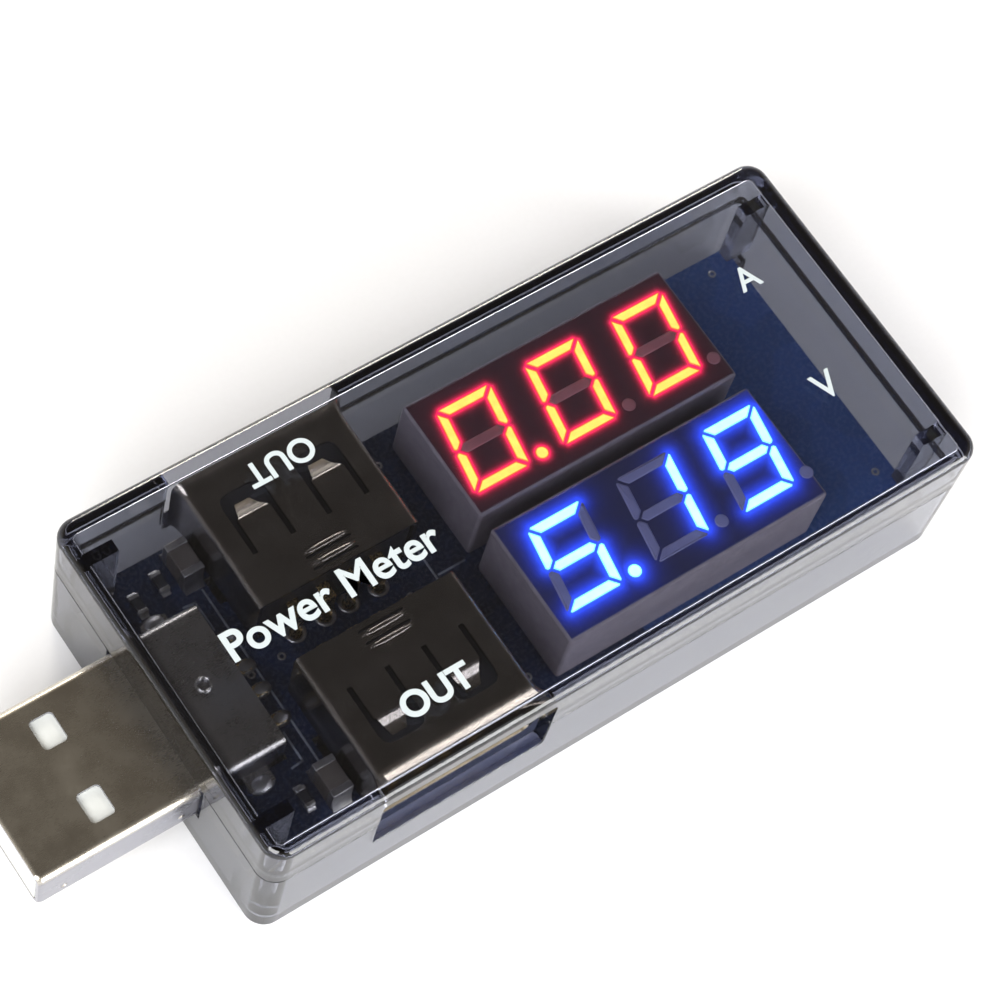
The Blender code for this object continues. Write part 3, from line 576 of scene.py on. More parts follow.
def rolled_steel(name, dark, light, side, roughness, along):
    """Plated sheet metal: satin grain along an axis, faint smudges, and painted shade on upright faces, in
    colour side.
    """
    material, tree, shader = new_material(name, light, roughness, 1.0)
    stretch = [8.0 if axis == along else 1.0 for axis in "XYZ"]
    lines = grain(tree, 0.05, stretch, detail=2.0)
    smudges = grain(tree, 2.5, detail=4.0, roughness=0.5)
    shade = spread(tree, smudges, 0.0, 1.0, 0.2, 0.8)
    # Painted shade: upright faces take the darker colour side instead of the plate's colour
    level = spread(tree, flatness(tree), 0.0, 1.0, 0.1, 0.6)
    plate = blend_colours(tree, shade, dark, light)
    tree.links.new(blend_colours(tree, level, side, plate), shader.inputs["Base Color"])
    dulled = calculate(tree, "MULTIPLY", lines, shade)
    rough = spread(tree, dulled, roughness, roughness + 0.10, 0.0, 0.6)
    tree.links.new(rough, shader.inputs["Roughness"])
    emboss(tree, shader, lines, 0.0004, 0.35)
    return material


def solder_mask():
    """Deep blue lacquer over copper tracks, a lighter blue of painted display light past an edge, and bare
    laminate on the board's edges.
    """
    material, tree, shader = new_material("board_solder_mask", (0.008, 0.02, 0.075), 0.22)
    copper = spread(tree, grain(tree, 5.0, detail=0.0), 0.0, 1.0, 0.49, 0.51)
    weave = grain(tree, 0.3)
    tracks = blend_colours(tree, copper, (0.011, 0.020, 0.046), (0.014, 0.026, 0.062))
    # Painted light: a lighter blue where the displays' glow falls on the board
    glow_lit_lacquer = blend_colours(tree, copper, (0.035, 0.075, 0.19), (0.040, 0.084, 0.22))
    lacquer = blend_colours(tree, fade(tree, "X", *DISPLAY_GLOW_EDGE), glow_lit_lacquer, tracks)
    laminate = blend_colours(tree, weave, (0.16, 0.14, 0.07), (0.30, 0.27, 0.15))
    colour = blend_colours(tree, flatness(tree), laminate, lacquer)
    tree.links.new(colour, shader.inputs["Base Color"])
    tree.links.new(spread(tree, weave, 0.24, 0.30), shader.inputs["Roughness"])
    emboss(tree, shader, weave, 0.0005, 0.15)
    return material


def glowing(name, base, glow, strength, attribute, steepness=1.0):
    """A surface that gives off light in the share that a vertex attribute says, raised to steepness."""
    material, tree, shader = new_material(name, base, 0.3)
    given = wire(tree, "ShaderNodeAttribute", attribute_name=attribute).outputs["Fac"]
    share = calculate(tree, "POWER", given, steepness)
    mottle = spread(tree, grain(tree, 0.8, detail=2.0), 0.9, 1.08)
    level = calculate(tree, "MULTIPLY", calculate(tree, "MULTIPLY", share, mottle), strength)
    shader.inputs["Emission Color"].default_value = (*glow, 1.0)
    tree.links.new(level, shader.inputs["Emission Strength"])
    return material


# Case

def case_slab(low, high, inset, low_radius=0.0, high_radius=0.0):
    """Rings of the case's plan between two heights, rounded at either end."""
    profile = []
    for level, radius, upward in ((low, low_radius, 1), (high, high_radius, -1)):
        steps = EDGE_STEPS if radius else 0
        bend = []
        for step in range(steps + 1):
            angle = math.pi / 2 * step / max(steps, 1)
            shift = radius * (1 - math.sin(angle))
            bend.append((inset + shift, level + upward * radius * (1 - math.cos(angle))))
        profile += bend[::upward]
    mesh = bmesh.new()
    add_loft(mesh, [[(x, y, height) for x, y in case_plan(shift)] for shift, height in profile])
    return mesh


def cut_openings(shell):
    openings = bmesh.new()
    centre = (PORT_CENTRE_X, OPENING_CENTRE_HEIGHT)
    outline = rounded_rectangle(centre, OPENING_WIDTH, OPENING_HEIGHT, OPENING_RADIUS)
    outside = CASE_SIZE.y / 2 + THROUGH
    inside = CASE_SIZE.y / 2 - CASE_WALL - THROUGH
    add_prism(openings, outline, -outside, -inside, "Y")
    add_prism(openings, outline, inside, outside, "Y")
    cut(shell, openings)


def corner_ribs(profile):
    """A rib by each corner. Its profile's points are the distance from the end face, and the height."""
    mesh = bmesh.new()
    left_end = [(CASE_LOW.x + distance, height) for distance, height in profile]
    right_end = [(CASE_HIGH.x - distance, height) for distance, height in profile]
    for outline in (left_end, right_end):
        for side in (-1, 1):
            rib_y = sorted((side * RIB_OUTER_Y, side * (RIB_OUTER_Y - RIB_THICKNESS)))
            add_prism(mesh, outline, *rib_y, "Y")
    return mesh


def make_upper_shell(plastic):
    bottom = PARTING_HEIGHT + PARTING_GAP / 2
    ceiling = CASE_HIGH.z - CASE_FLOOR
    block = case_slab(bottom, CASE_HIGH.z, 0.0, 0.0, CASE_EDGE_RADIUS)
    shell = new_piece("upper_cover", block, plastic)
    cut(shell, case_slab(bottom - THROUGH, ceiling, CASE_WALL, 0.0, INNER_EDGE_RADIUS))
    cut(shell, case_slab(bottom - THROUGH, bottom + REBATE_DEPTH, REBATE_WALL))
    cut_openings(shell)
    beside_lip = CASE_WALL + LIP_CLEARANCE
    over_lip = bottom + REBATE_DEPTH + LIP_CLEARANCE
    over_board = BOARD_TOP + SEAT_GAP
    end = CASE_WALL + RIB_REACH
    profile = [
        (CASE_WALL / 2, over_lip),
        (beside_lip, over_lip),
        (beside_lip, over_board),
        (end, over_board),
        (end, ceiling + CASE_FLOOR / 2),
        (CASE_WALL / 2, ceiling + CASE_FLOOR / 2),
    ]
    fuse(shell, corner_ribs(profile))
    soften(shell, PARTING_CHAMFER)
    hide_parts("upper_shell")


def make_lower_shell(plastic):
    top = PARTING_HEIGHT - PARTING_GAP / 2
    lip_top = PARTING_HEIGHT + REBATE_DEPTH - LIP_CLEARANCE
    shell = new_piece("lower_tray", case_slab(CASE_LOW.z, top, 0.0, CASE_EDGE_RADIUS), plastic)
    fuse(shell, case_slab(top - THROUGH / 2, lip_top, REBATE_WALL + LIP_CLEARANCE))
    cut(shell, case_slab(CASE_FLOOR, lip_top + THROUGH, CASE_WALL, INNER_EDGE_RADIUS))
    cut_openings(shell)
    notch = bmesh.new()
    half = PLUG_WIDTH / 2 + NOTCH_CLEARANCE
    notch_x = (CASE_LOW.x - THROUGH, CASE_LOW.x + CASE_WALL + THROUGH)
    add_box(notch, notch_x, (-half, half), (PLUG_LOW.z - NOTCH_CLEARANCE, lip_top + THROUGH))
    cut(shell, notch)
    posts = rectangle((CASE_WALL / 2, CASE_FLOOR / 2), (CASE_WALL + RIB_REACH, BOARD_BOTTOM - SEAT_GAP))
    fuse(shell, corner_ribs(posts))
    soften(shell, PARTING_CHAMFER)
    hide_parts("lower_shell")


# Plug

def plug_ring(x, inset, radius):
    centre = (0.0, (PLUG_LOW.z + PLUG_HIGH.z) / 2)
    outline = rounded_rectangle(centre, PLUG_WIDTH - 2 * inset, PLUG_HEIGHT - 2 * inset, radius)
    return [(x, y, z) for y, z in outline]


def make_plug_shell(steel):
    tip = PLUG_LOW.x
    stations = (
        (tip, PLUG_LEAD_IN_DEPTH),
        (tip + PLUG_LEAD_IN_LENGTH / 3, PLUG_LEAD_IN_DEPTH * 0.5),
        (tip + PLUG_LEAD_IN_LENGTH, 0.0),
        (PLUG_HIGH.x, 0.0),
    )
    outer = [plug_ring(x, inset, PLUG_CORNER_RADIUS) for x, inset in stations]
    inner = [plug_ring(x, inset + SHEET, PLUG_CORNER_RADIUS - SHEET) for x, inset in stations]
    mesh = bmesh.new()
    add_loft(mesh, outer + inner[::-1], closed=True)
    shell = new_piece("plug_sleeve", mesh, steel)

    holes = bmesh.new()
    middle_x = tip + PLUG_WINDOW_FROM_TIP + PLUG_WINDOW_LENGTH / 2
    for side in (-1, 1):
        centre = (middle_x, side * PLUG_WINDOW_OFFSET)
        outline = rounded_rectangle(centre, PLUG_WINDOW_LENGTH, PLUG_WINDOW_WIDTH, PLUG_WINDOW_RADIUS)
        for level in (PLUG_LOW.z, PLUG_HIGH.z):
            add_prism(holes, outline, level - 2 * SHEET, level + 2 * SHEET)
    hole_centre = (tip + FORMED_HOLE_FROM_TIP, FORMED_HOLE_Y)
    hole_z = (PLUG_HIGH.z - FORMED_HOLE_DEPTH, PLUG_HIGH.z + SHEET)
    add_prism(holes, circle(hole_centre, FORMED_HOLE_RADIUS), *hole_z)
    seam_y = (-PLUG_SEAM_WIDTH / 2, PLUG_SEAM_WIDTH / 2)
    seam_z = (PLUG_LOW.z - THROUGH, PLUG_LOW.z + SHEET / 2)
    add_box(holes, (tip - THROUGH, PLUG_HIGH.x + THROUGH), seam_y, seam_z)
    cut(shell, holes)

    tabs = bmesh.new()
    tab_x = [PLUG_HIGH.x - distance for distance in PLUG_TAB_FROM_BACK[::-1]]
    tab_ends = (PLUG_WIDTH / 2 - SHEET / 2, PLUG_WIDTH / 2 + PLUG_TAB_REACH)
    for side in (-1, 1):
        tab_z = (BOARD_TOP + SEAT_GAP, BOARD_TOP + SEAT_GAP + SHEET)
        add_box(tabs, tab_x, sorted(side * end for end in tab_ends), tab_z)
        for from_tip, height, radius in PLUG_BUMPS:
            base = (tip + from_tip, side * (PLUG_WIDTH / 2 - BURIED), height)
            add_dome(tabs, base, (radius, radius), PLUG_BUMP_RISE, up=(0, side, 0))
    add_turned(tabs, (*hole_centre, PLUG_HIGH.z), HOLE_COLLAR)
    fuse(shell, tabs)
    soften(shell, PLUG_EDGE)
    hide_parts("plug_shell")


def make_plug_front(white):
    """The insulator's front, which nearly fills the plug's mouth."""
    low, high = node_box("plug_insulator")
    mesh = bmesh.new()
    add_box(mesh, (PLUG_LOW.x + BURIED, low.x + THROUGH), (low.y, high.y), (low.z, high.z))
    front = new_piece("plug_insulator_front", mesh, white)
    soften(front, PLUG_FRONT_EDGE, segments=3)


# Outputs

def port_ring(side, depth, grow, radius):
    centre = (PORT_CENTRE_X, PORT_CENTRE_HEIGHT)
    outline = rounded_rectangle(centre, PORT_WIDTH + 2 * grow, PORT_HEIGHT + 2 * grow, radius)
    return [(x, side * depth, z) for x, z in outline]


def leaf_slots(side, centre_x):
    """The two slots and the window that free one spring leaf, as one U in plan."""
    outer = LEAF_SLOT_OFFSET + LEAF_SLOT_WIDTH / 2
    inner = LEAF_SLOT_OFFSET - LEAF_SLOT_WIDTH / 2
    half = [(outer + across, LEAF_WINDOW_END + back) for across, back in LEAF_WINDOW_CORNER]
    half += [(outer, LEAF_ROOT), (inner, LEAF_ROOT), (inner, LEAF_BEND)]
    outline = half + [(-x, depth) for x, depth in reversed(half)]
    return [(centre_x + x, side * depth) for x, depth in outline]


def leaf_tip(mesh, side, centre_x):
    """The bent end of a spring leaf: a strip that slopes down into the output and narrows."""
    depth = LEAF_BEND - SHEET
    height = PORT_TOP - BURIED
    half = LEAF_SLOT_OFFSET - LEAF_SLOT_WIDTH / 2 - BURIED
    narrowing = LEAF_TIP_NARROWING / sum(length for length, _ in LEAF_SLOPES)
    thickness = SHEET - 2 * BURIED
    rings = []
    for length, slope in ((SHEET, 0.0),) + LEAF_SLOPES + ((0.0, LEAF_SLOPES[-1][1]),):
        angle = math.radians(slope)
        places = []
        for across, drop in ((-half, 0.0), (half, 0.0), (half, thickness), (-half, thickness)):
            lean = drop * math.sin(angle)
            level = height - drop * math.cos(angle)
            places.append((centre_x + across, side * (depth - lean), level))
        rings.append(places)
        depth += length * math.cos(angle)
        height -= length * math.sin(angle)
        half -= narrowing * length
    add_loft(mesh, rings)


def make_port_shell(name, side, steel):
    radius = PORT_CORNER_RADIUS
    stations = [(PORT_REAR, 0.0)]
    for step in range(PORT_FLARE_STEPS + 1):
        share = step / PORT_FLARE_STEPS
        depth = PORT_FRONT - PORT_FLARE_LENGTH * (1 - share)
        stations.append((depth, PORT_FLARE * share ** PORT_FLARE_CURVE))
    outer = [port_ring(side, depth, grow, radius + grow) for depth, grow in stations]
    inner = [port_ring(side, depth, grow - SHEET, radius + grow - SHEET) for depth, grow in stations]
    mesh = bmesh.new()
    add_loft(mesh, outer + inner[::-1], closed=True)
    shell = new_piece(f"{name}_port_sleeve", mesh, steel)

    slots = bmesh.new()
    slot_z = (PORT_TOP - 2 * SHEET, PORT_TOP + 2 * SHEET)
    for leaf in (-LEAF_CENTRE, LEAF_CENTRE):
        add_prism(slots, leaf_slots(side, PORT_CENTRE_X + leaf), *slot_z)
    for place in SLIT_PLACES:
        slit = rounded_rectangle((PORT_CENTRE_X, side * place), SLIT_LENGTH, SLIT_WIDTH, SLIT_WIDTH / 2.2)
        add_prism(slots, slit, *slot_z)
    cut(shell, slots)

    extras = bmesh.new()
    for leaf in (-LEAF_CENTRE, LEAF_CENTRE):
        leaf_tip(extras, side, PORT_CENTRE_X + leaf)
    leg_y = sorted((side * LEG_START, side * (LEG_START + LEG_WIDTH)))
    leg_z = (PIN_END, PORT_CENTRE_HEIGHT - PORT_HEIGHT / 2 + LEG_ROOT_HEIGHT)
    for leg in (-1, 1):
        insets = (BURIED, SHEET - BURIED)
        leg_x = sorted(PORT_CENTRE_X + leg * (PORT_WIDTH / 2 - inset) for inset in insets)
        add_box(extras, leg_x, leg_y, leg_z)
    fuse(shell, extras)
    soften(shell, PORT_EDGE)
    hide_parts(f"{name}_port_shell")

    ridges = bmesh.new()
    for place in SLIT_PLACES:
        ridge = (PORT_CENTRE_X, side * (place + RIDGE_OFFSET), PORT_TOP - BURIED)
        add_dome(ridges, ridge, (SLIT_LENGTH / 2, RIDGE_WIDTH / 2), RIDGE_HEIGHT)
    new_piece(f"{name}_port_ridges", ridges, steel)


# Displays

def segment_corners(letter):
    """A segment of an upright digit: a and d are at its top and bottom, g is its middle bar."""
    half_width = DIGIT_WIDTH / 2
    half_height = DIGIT_HEIGHT / 2
    thick = SEGMENT_WIDTH
    chamfer = SEGMENT_CHAMFER
    inner = half_width - thick
    if letter == "g":
        half = [(half_width - thick / 2, 0.0), (inner, thick / 2)]
        right = [(x, -y) for x, y in reversed(half)] + half[1:]
        return right + [(-x, -y) for x, y in right]
    shared = (half_width - chamfer / 2, half_height - chamfer / 2)
    if letter in "ad":
        right = [(inner, half_height - thick), shared, (half_width - chamfer, half_height)]
        corners = right + [(-x, y) for x, y in reversed(right)]
    else:
        corners = [shared, (half_width, half_height - chamfer), (half_width, chamfer / 2)]
        corners += [(half_width - chamfer / 2, 0.0), (half_width - thick / 2, 0.0), (inner, thick / 2)]
        corners.append((inner, half_height - thick))
    mirror_x = -1 if letter in "ef" else 1
    mirror_y = -1 if letter in "cde" else 1
    return [(x * mirror_x, y * mirror_y) for x, y in corners]


def drawn_in(corners, distance):
    """A convex outline with every side moved inwards."""
    points = [Vector(corner) for corner in corners]
    area = sum(a.x * b.y - a.y * b.x for a, b in zip(points, points[1:] + points[:1]))
    turn = 1 if area > 0 else -1
    moved = []
    for before, point, after in zip(points[-1:] + points[:-1], points, points[1:] + points[:1]):
        arriving = (point - before).normalized()
        leaving = (after - point).normalized()
        inward_a = Vector((-arriving.y, arriving.x)) * turn
        inward_b = Vector((-leaving.y, leaving.x)) * turn
        moved.append(point + (inward_a + inward_b) * distance / (1 + inward_a.dot(inward_b)))
    return moved


def slanted(point, centre):
    """A point of an upright digit, leaned over and placed in the frame."""
    x, y = point
    return Vector((centre[0] + x + y * math.tan(DIGIT_SLANT), centre[1] + y))


def display_marks(name):
    """Every segment and dot of a display: its outline, its outline drawn in, and whether it's lit."""
    low, high = node_box(f"{name}_display_case")
    first_x = low.x + FIRST_DIGIT_X + DIGIT_SHIFT[name][0]
    centre_y = (low.y + high.y) / 2 + DIGIT_SHIFT[name][1]
    reading = READINGS[name]
    shrinks = (0.0, SEGMENT_RIM)
    marks = []
    for place, digit in enumerate(reading.replace(".", "")):
        centre = (first_x + place * DIGIT_PITCH, centre_y)
        for letter in "abcdefg":
            corners = segment_corners(letter)
            upright = [drawn_in(corners, SEGMENT_GAP / 2 + shrink) for shrink in shrinks]
            outlines = [[slanted(corner, centre) for corner in outline] for outline in upright]
            marks.append((outlines, letter in SEGMENTS_OF[digit]))
        dot = (centre[0] + DOT_OFFSET_X, centre_y - DIGIT_HEIGHT / 2 + SEGMENT_WIDTH / 2)
        rounds = [circle(dot, DOT_RADIUS - shrink, 20) for shrink in shrinks]
        outlines = [[Vector(point) for point in outline] for outline in rounds]
        marks.append((outlines, reading.find(".") == place + 1))
    return marks


def make_segments(name, marks, top, lit, material):
    """Low caps that stand a little proud of the film, with the attribute core as CORE_SHARES says."""
    mesh = bmesh.new()
    core = mesh.verts.layers.float.new("core")
    for outlines, is_lit in marks:
        if is_lit != lit:
            continue
        outer, inner = outlines
        levels = ((outer, -SEGMENT_RISE), (outer, 0.0), (inner, SEGMENT_RISE))
        rings = [[(x, y, top + rise) for x, y in outline] for outline, rise in levels]
        for loop, share in zip(add_loft(mesh, rings), CORE_SHARES):
            for vertex in loop:
                vertex[core] = share
    state = "lit" if lit else "dark"
    return new_piece(f"{name}_{state}_segments", mesh, material)


def distance_outside(point, outline):
    """How far a point lies outside a convex outline, or 0 within it."""
    nearest = math.inf
    sides = set()
    for start, end in zip(outline, outline[1:] + outline[:1]):
        along = end - start
        offset = point - start
        share = max(0.0, min(1.0, offset.dot(along) / along.length_squared))
        nearest = min(nearest, (offset - along * share).length)
        sides.add(along.cross(offset) > 0)
    return 0.0 if len(sides) == 1 else nearest


def make_film(name, marks, low, high, material, halo):
    """The film on a display's face. Its attribute glow is the light that leaks round lit segments."""
    x = (low.x + FILM_INSET, high.x - FILM_INSET)
    y = (low.y + FILM_INSET, high.y - FILM_INSET)
    columns = round((x[1] - x[0]) / FILM_CELL)
    rows = round((y[1] - y[0]) / FILM_CELL)
    lit_outlines = [outlines[0] for outlines, lit in marks if lit]
    close, close_reach, wide, wide_reach = halo
    mesh = bmesh.new()
    glow = mesh.verts.layers.float.new("glow")
    grid = []
    for row in range(rows + 1):
        grid.append([])
        for column in range(columns + 1):
            point = Vector((x[0] + (x[1] - x[0]) * column / columns, y[0] + (y[1] - y[0]) * row / rows))
            away = min(distance_outside(point, outline) for outline in lit_outlines)
            vertex = mesh.verts.new(Vector((point.x, point.y, high.z)) * MM)
            vertex[glow] = close * math.exp(-away / close_reach) + wide * math.exp(-away / wide_reach)
            grid[-1].append(vertex)
    for row in range(rows):
        for column in range(columns):
            below = grid[row][column:column + 2]
            above = grid[row + 1][column:column + 2]
            mesh.faces.new(below + above[::-1])
    film = new_piece(f"{name}_face_film", mesh, material)
    thick = film.modifiers.new("thickness", "SOLIDIFY")
    thick.thickness = FILM_THICKNESS * MM
    thick.offset = 0.0


def make_display(name, case_material, film_material, lit_material, dark_material):
    """A display: its housing, its film, and its lit and dark segments."""
    low, high = node_box(f"{name}_display_case")
    mesh = bmesh.new()
    add_box(mesh, *zip(low, high))
    body = new_piece(f"{name}_display_housing", mesh, case_material)
    cavity = bmesh.new()
    cavity_x = (low.x + DISPLAY_WALL, high.x - DISPLAY_WALL)
    cavity_y = (low.y + DISPLAY_WALL, high.y - DISPLAY_WALL)
    add_box(cavity, cavity_x, cavity_y, (low.z - THROUGH, high.z - DISPLAY_FACE))
    cut(body, cavity)
    soften(body, DISPLAY_EDGE, segments=4)
    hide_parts(f"{name}_display_case")

    marks = display_marks(name)
    make_film(name, marks, low, high, film_material, HALOS[name])
    top = high.z + FILM_THICKNESS / 2
    lit = make_segments(name, marks, top, True, lit_material)
    make_segments(name, marks, top, False, dark_material)
    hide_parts(f"{name}_display_resin")


# Board

def make_board_print(ink, tin):
    """White lines, tinned rings round the output pins, and tinned via rings."""
    lines = bmesh.new()
    for start, end in INK_LINES:
        add_line(lines, start, end, INK_LINE_WIDTH, BOARD_TOP, BOARD_TOP + INK_THICKNESS)
    new_piece("board_lines", lines, ink)
    rings = bmesh.new()
    faces = ((BOARD_TOP, 1), (BOARD_BOTTOM, -1))
    for side in (-1, 1):
        for place in CONTACT_PLACES:
            pin = (PORT_CENTRE_X + place, side * PIN_ROW)
            for level, up in faces:
                add_turned(rings, (*pin, level), PIN_RING, up)
    for place in VIA_PLACES:
        for level, up in faces:
            add_turned(rings, (*place, level), VIA_RING, up)
    new_piece("board_rings", rings, tin)


def make_solder(tin):
    """Solder where legs, tabs and feet meet the board."""
    blobs = bmesh.new()
    for side in (-1, 1):
        tab_x = PLUG_HIGH.x - sum(PLUG_TAB_FROM_BACK) / 2
        tab = (tab_x, side * (PLUG_WIDTH / 2 + PLUG_TAB_REACH * 0.75), BOARD_TOP)
        add_dome(blobs, tab, *TAB_SOLDER)
        for place in CONTACT_PLACES:
            pin = (PORT_CENTRE_X + place, side * PIN_ROW, BOARD_BOTTOM)
            add_dome(blobs, pin, *PIN_SOLDER, up=DOWN)
        for leg in (-1, 1):
            leg_x = PORT_CENTRE_X + leg * (PORT_WIDTH / 2 - SHEET / 2)
            leg_y = side * (LEG_START + LEG_WIDTH / 2)
            add_dome(blobs, (leg_x, leg_y, BOARD_BOTTOM), *LEG_SOLDER, up=DOWN)
    for number in range(1, 5):
        low, high = node_box(f"plug_contact_{number}")
        foot = (high.x - FOOT_FROM_BACK, (low.y + high.y) / 2, BOARD_TOP)
        add_dome(blobs, foot, *FOOT_SOLDER)
    for name in READINGS:
        low, high = node_box(f"{name}_display_case")
        middle = (low + high) / 2
        for row in (middle.y - DISPLAY_ROW_OFFSET, middle.y + DISPLAY_ROW_OFFSET):
            for pin in range(DISPLAY_PINS_PER_ROW):
                x = middle.x + DISPLAY_PIN_PITCH * (pin - (DISPLAY_PINS_PER_ROW - 1) / 2)
                add_dome(blobs, (x, row, BOARD_BOTTOM), *DISPLAY_SOLDER, up=DOWN)
    new_piece("solder_joints", blobs, tin)


def make_end_capped(name, body_material, tin):
    """A chip resistor or capacitor: a body with a tinned cap and a solder fillet at each end."""
    low, high = node_box(name)
    size = high - low
    long, wide = (0, 1) if size.x > size.y else (1, 0)
    cap = CAP_SHARE * size[long]

    def add_part(mesh, start, end, inset):
        ranges = [None, None]
        ranges[long] = (start, end)
        ranges[wide] = (low[wide] + inset, high[wide] - inset)
        add_box(mesh, *ranges, (low.z + inset, high.z - inset))

    mesh = bmesh.new()
    add_part(mesh, low[long] + cap / 2, high[long] - cap / 2, BODY_INSET)
    body = new_piece(f"{name}_body", mesh, body_material)
    soften(body, NODE_EDGE)
    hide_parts(name)
    caps = bmesh.new()
    add_part(caps, low[long], low[long] + cap, 0.0)
    add_part(caps, high[long] - cap, high[long], 0.0)
    soften(new_piece(f"{name}_caps", caps, tin), CAP_EDGE, segments=3)

    above = low.z > BOARD_TOP
    level = BOARD_TOP if above else BOARD_BOTTOM
    rise = size.z * (FILLET_RISE if above else -FILLET_RISE)
    reach = min(FILLET_MOST, FILLET_REACH * size.z)
    across = (low[wide] + FILLET_INSET, high[wide] - FILLET_INSET)
    fillets = bmesh.new()
    for end, outwards in ((low[long], -reach), (high[long], reach)):
        outline = [(end + outwards * a, level + rise * b) for a, b in FILLET_CURVE]
        add_prism(fillets, outline, *across, "YX"[long])
    soften(new_piece(f"{name}_solder", fillets, tin), SOLDER_EDGE)


def make_chip(name, body_material, tin):
    """A chip under the board: its body, and gull-wing leads along both sides."""
    low, high = node_box(name)
    middle = (low + high) / 2
    half = (high.y - low.y) / 2 - LEAD_LENGTH
    mesh = bmesh.new()
    add_box(mesh, (low.x, high.x), (middle.y - half, middle.y + half), (low.z, high.z))
    body = new_piece(f"{name}_body", mesh, body_material)
    soften(body, CHIP_EDGE)
    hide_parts(name)

    root = middle.z - LEAD_THICKNESS / 2
    foot = BOARD_BOTTOM - LEAD_THICKNESS
    levels = (root, foot)
    under = [(-SEAT_GAP, root), *zip(LEAD_BENDS_UNDER, levels), (LEAD_LENGTH, foot)]
    over_levels = (foot + LEAD_THICKNESS, root + LEAD_THICKNESS)
    over = [(LEAD_LENGTH, over_levels[0]), *zip(LEAD_BENDS_OVER, over_levels), (-SEAT_GAP, over_levels[1])]
    leads = bmesh.new()
    for place in LEAD_PLACES[name]:
        lead_x = (middle.x + place - LEAD_WIDTH / 2, middle.x + place + LEAD_WIDTH / 2)
        for side in (-1, 1):
            outline = [(middle.y + side * (half + out), z) for out, z in under + over]
            add_prism(leads, outline, *lead_x, "X")
    soften(new_piece(f"{name}_leads", leads, tin), LEAD_EDGE)


# Printing on the cover

def print_words(name, words, centre, width, turn, weight, ink):
    """White lettering on the cover, scaled to a width."""
    curve = bpy.data.curves.new(name, "FONT")
    curve.body = words
    curve.align_x = "CENTER"
    curve.align_y = "CENTER"
    curve.offset = weight
    curve.extrude = LETTER_THICKNESS
    curve.materials.append(ink)
    text = new_object(name, curve)
    bpy.context.view_layer.update()
    scale = width * MM / text.dimensions.x
    text.scale = (scale, scale, scale)
    text.rotation_euler.z = turn
    text.location = Vector((*centre, CASE_HIGH.z + LETTER_THICKNESS)) * MM
    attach(text, "root")


# Studio

def make_floor():
    """A wide sheet of pale paper, just under the case."""
    mesh = bmesh.new()
    across = (-FLOOR_HALF, FLOOR_HALF)
    add_box(mesh, across, across, (-FLOOR_GAP - FLOOR_THICKNESS, -FLOOR_GAP))
    floor = new_solid("floor", mesh)
    paper, tree, shader = new_material("pale_paper", (0.86, 0.865, 0.88), 0.6)
    fine = grain(tree, 0.4, detail=4.0)
    shade = blend_colours(tree, fine, (0.85, 0.855, 0.87), (0.88, 0.885, 0.90))
    tree.links.new(shade, shader.inputs["Base Color"])
    floor.data.materials.append(paper)


def make_world():
    """A surround whose brightness goes by height, as SKY says."""
    world = bpy.data.worlds.new("studio")
    bpy.context.scene.world = world
    world.use_nodes = True
    tree = world.node_tree
    direction = wire(tree, "ShaderNodeTexCoord").outputs["Generated"]
    ramp = wire(tree, "ShaderNodeValToRGB", {"Fac": component(tree, direction, "Z")})
    for stop, colour in SKY:
        step = ramp.color_ramp.elements[0] if stop == 0.0 else ramp.color_ramp.elements.new(stop)
        step.color = (*colour, 1.0)
    ramp.color_ramp.elements.remove(ramp.color_ramp.elements[-1])
    tree.links.new(ramp.outputs["Color"], tree.nodes["Background"].inputs["Color"])


def add_lamp(name, towards, distance, size, power, colour):
    """A square soft lamp that shines at the middle of the case from a direction."""
    light = bpy.data.lights.new(name, "AREA")
    light.size = size * MM
    light.energy = power
    light.color = colour
    lamp = new_object(name, light)
    back = Vector(towards).normalized()
    lamp.location = CASE_CENTRE * MM + back * distance * MM
    lamp.rotation_euler = (-back).to_track_quat("-Z", "Y").to_euler()


def make_camera():
    data = bpy.data.cameras.new("camera")
    data.lens = CAMERA_LENS
    data.clip_start = 0.01
    camera = new_object("camera", data)
    level = math.cos(CAMERA_ELEVATION)
    sideways = (math.sin(CAMERA_AZIMUTH) * level, -math.cos(CAMERA_AZIMUTH) * level)
    back = Vector((*sideways, math.sin(CAMERA_ELEVATION)))
    camera.location = (Vector(CAMERA_TARGET) + back * CAMERA_DISTANCE) * MM
    camera.rotation_mode = "QUATERNION"
    camera.rotation_quaternion = (-back).to_track_quat("-Z", "Y") @ Quaternion((0, 0, 1), CAMERA_ROLL)
    bpy.context.scene.camera = camera


def make_displays():
    grey = textured("display_case_grey", (0.22, 0.185, 0.19), (0.275, 0.235, 0.24), (0.35, 0.55), size=0.12)
    red_film = glowing("red_display_film", (0.055, 0.030, 0.036), (1.0, 0.01, 0.085), 1.0, "glow")
    blue_film = glowing("blue_display_film", (0.037, 0.038, 0.075), (0.02, 0.07, 1.0), 1.0, "glow")
    red_glow = (1.0, 0.13, 0.020)
    blue_glow = (0.11, 0.42, 1.0)
    red_lit = glowing("red_segment_lit", (0.5, 0.1, 0.05), red_glow, GLOW_STRENGTH, "core", 3.0)
    blue_lit = glowing("blue_segment_lit", (0.1, 0.3, 0.6), blue_glow, GLOW_STRENGTH, "core", 1.5)
    red_dark = textured("red_segment_dark", (0.34, 0.13, 0.135), (0.40, 0.165, 0.17), (0.3, 0.45), size=0.2)
    blue_dark = textured("blue_segment_dark", (0.23, 0.23, 0.39), (0.27, 0.27, 0.45), (0.3, 0.45), size=0.2)
    make_display("amps", grey, red_film, red_lit, red_dark)
    make_display("volts", grey, blue_film, blue_lit, blue_dark)


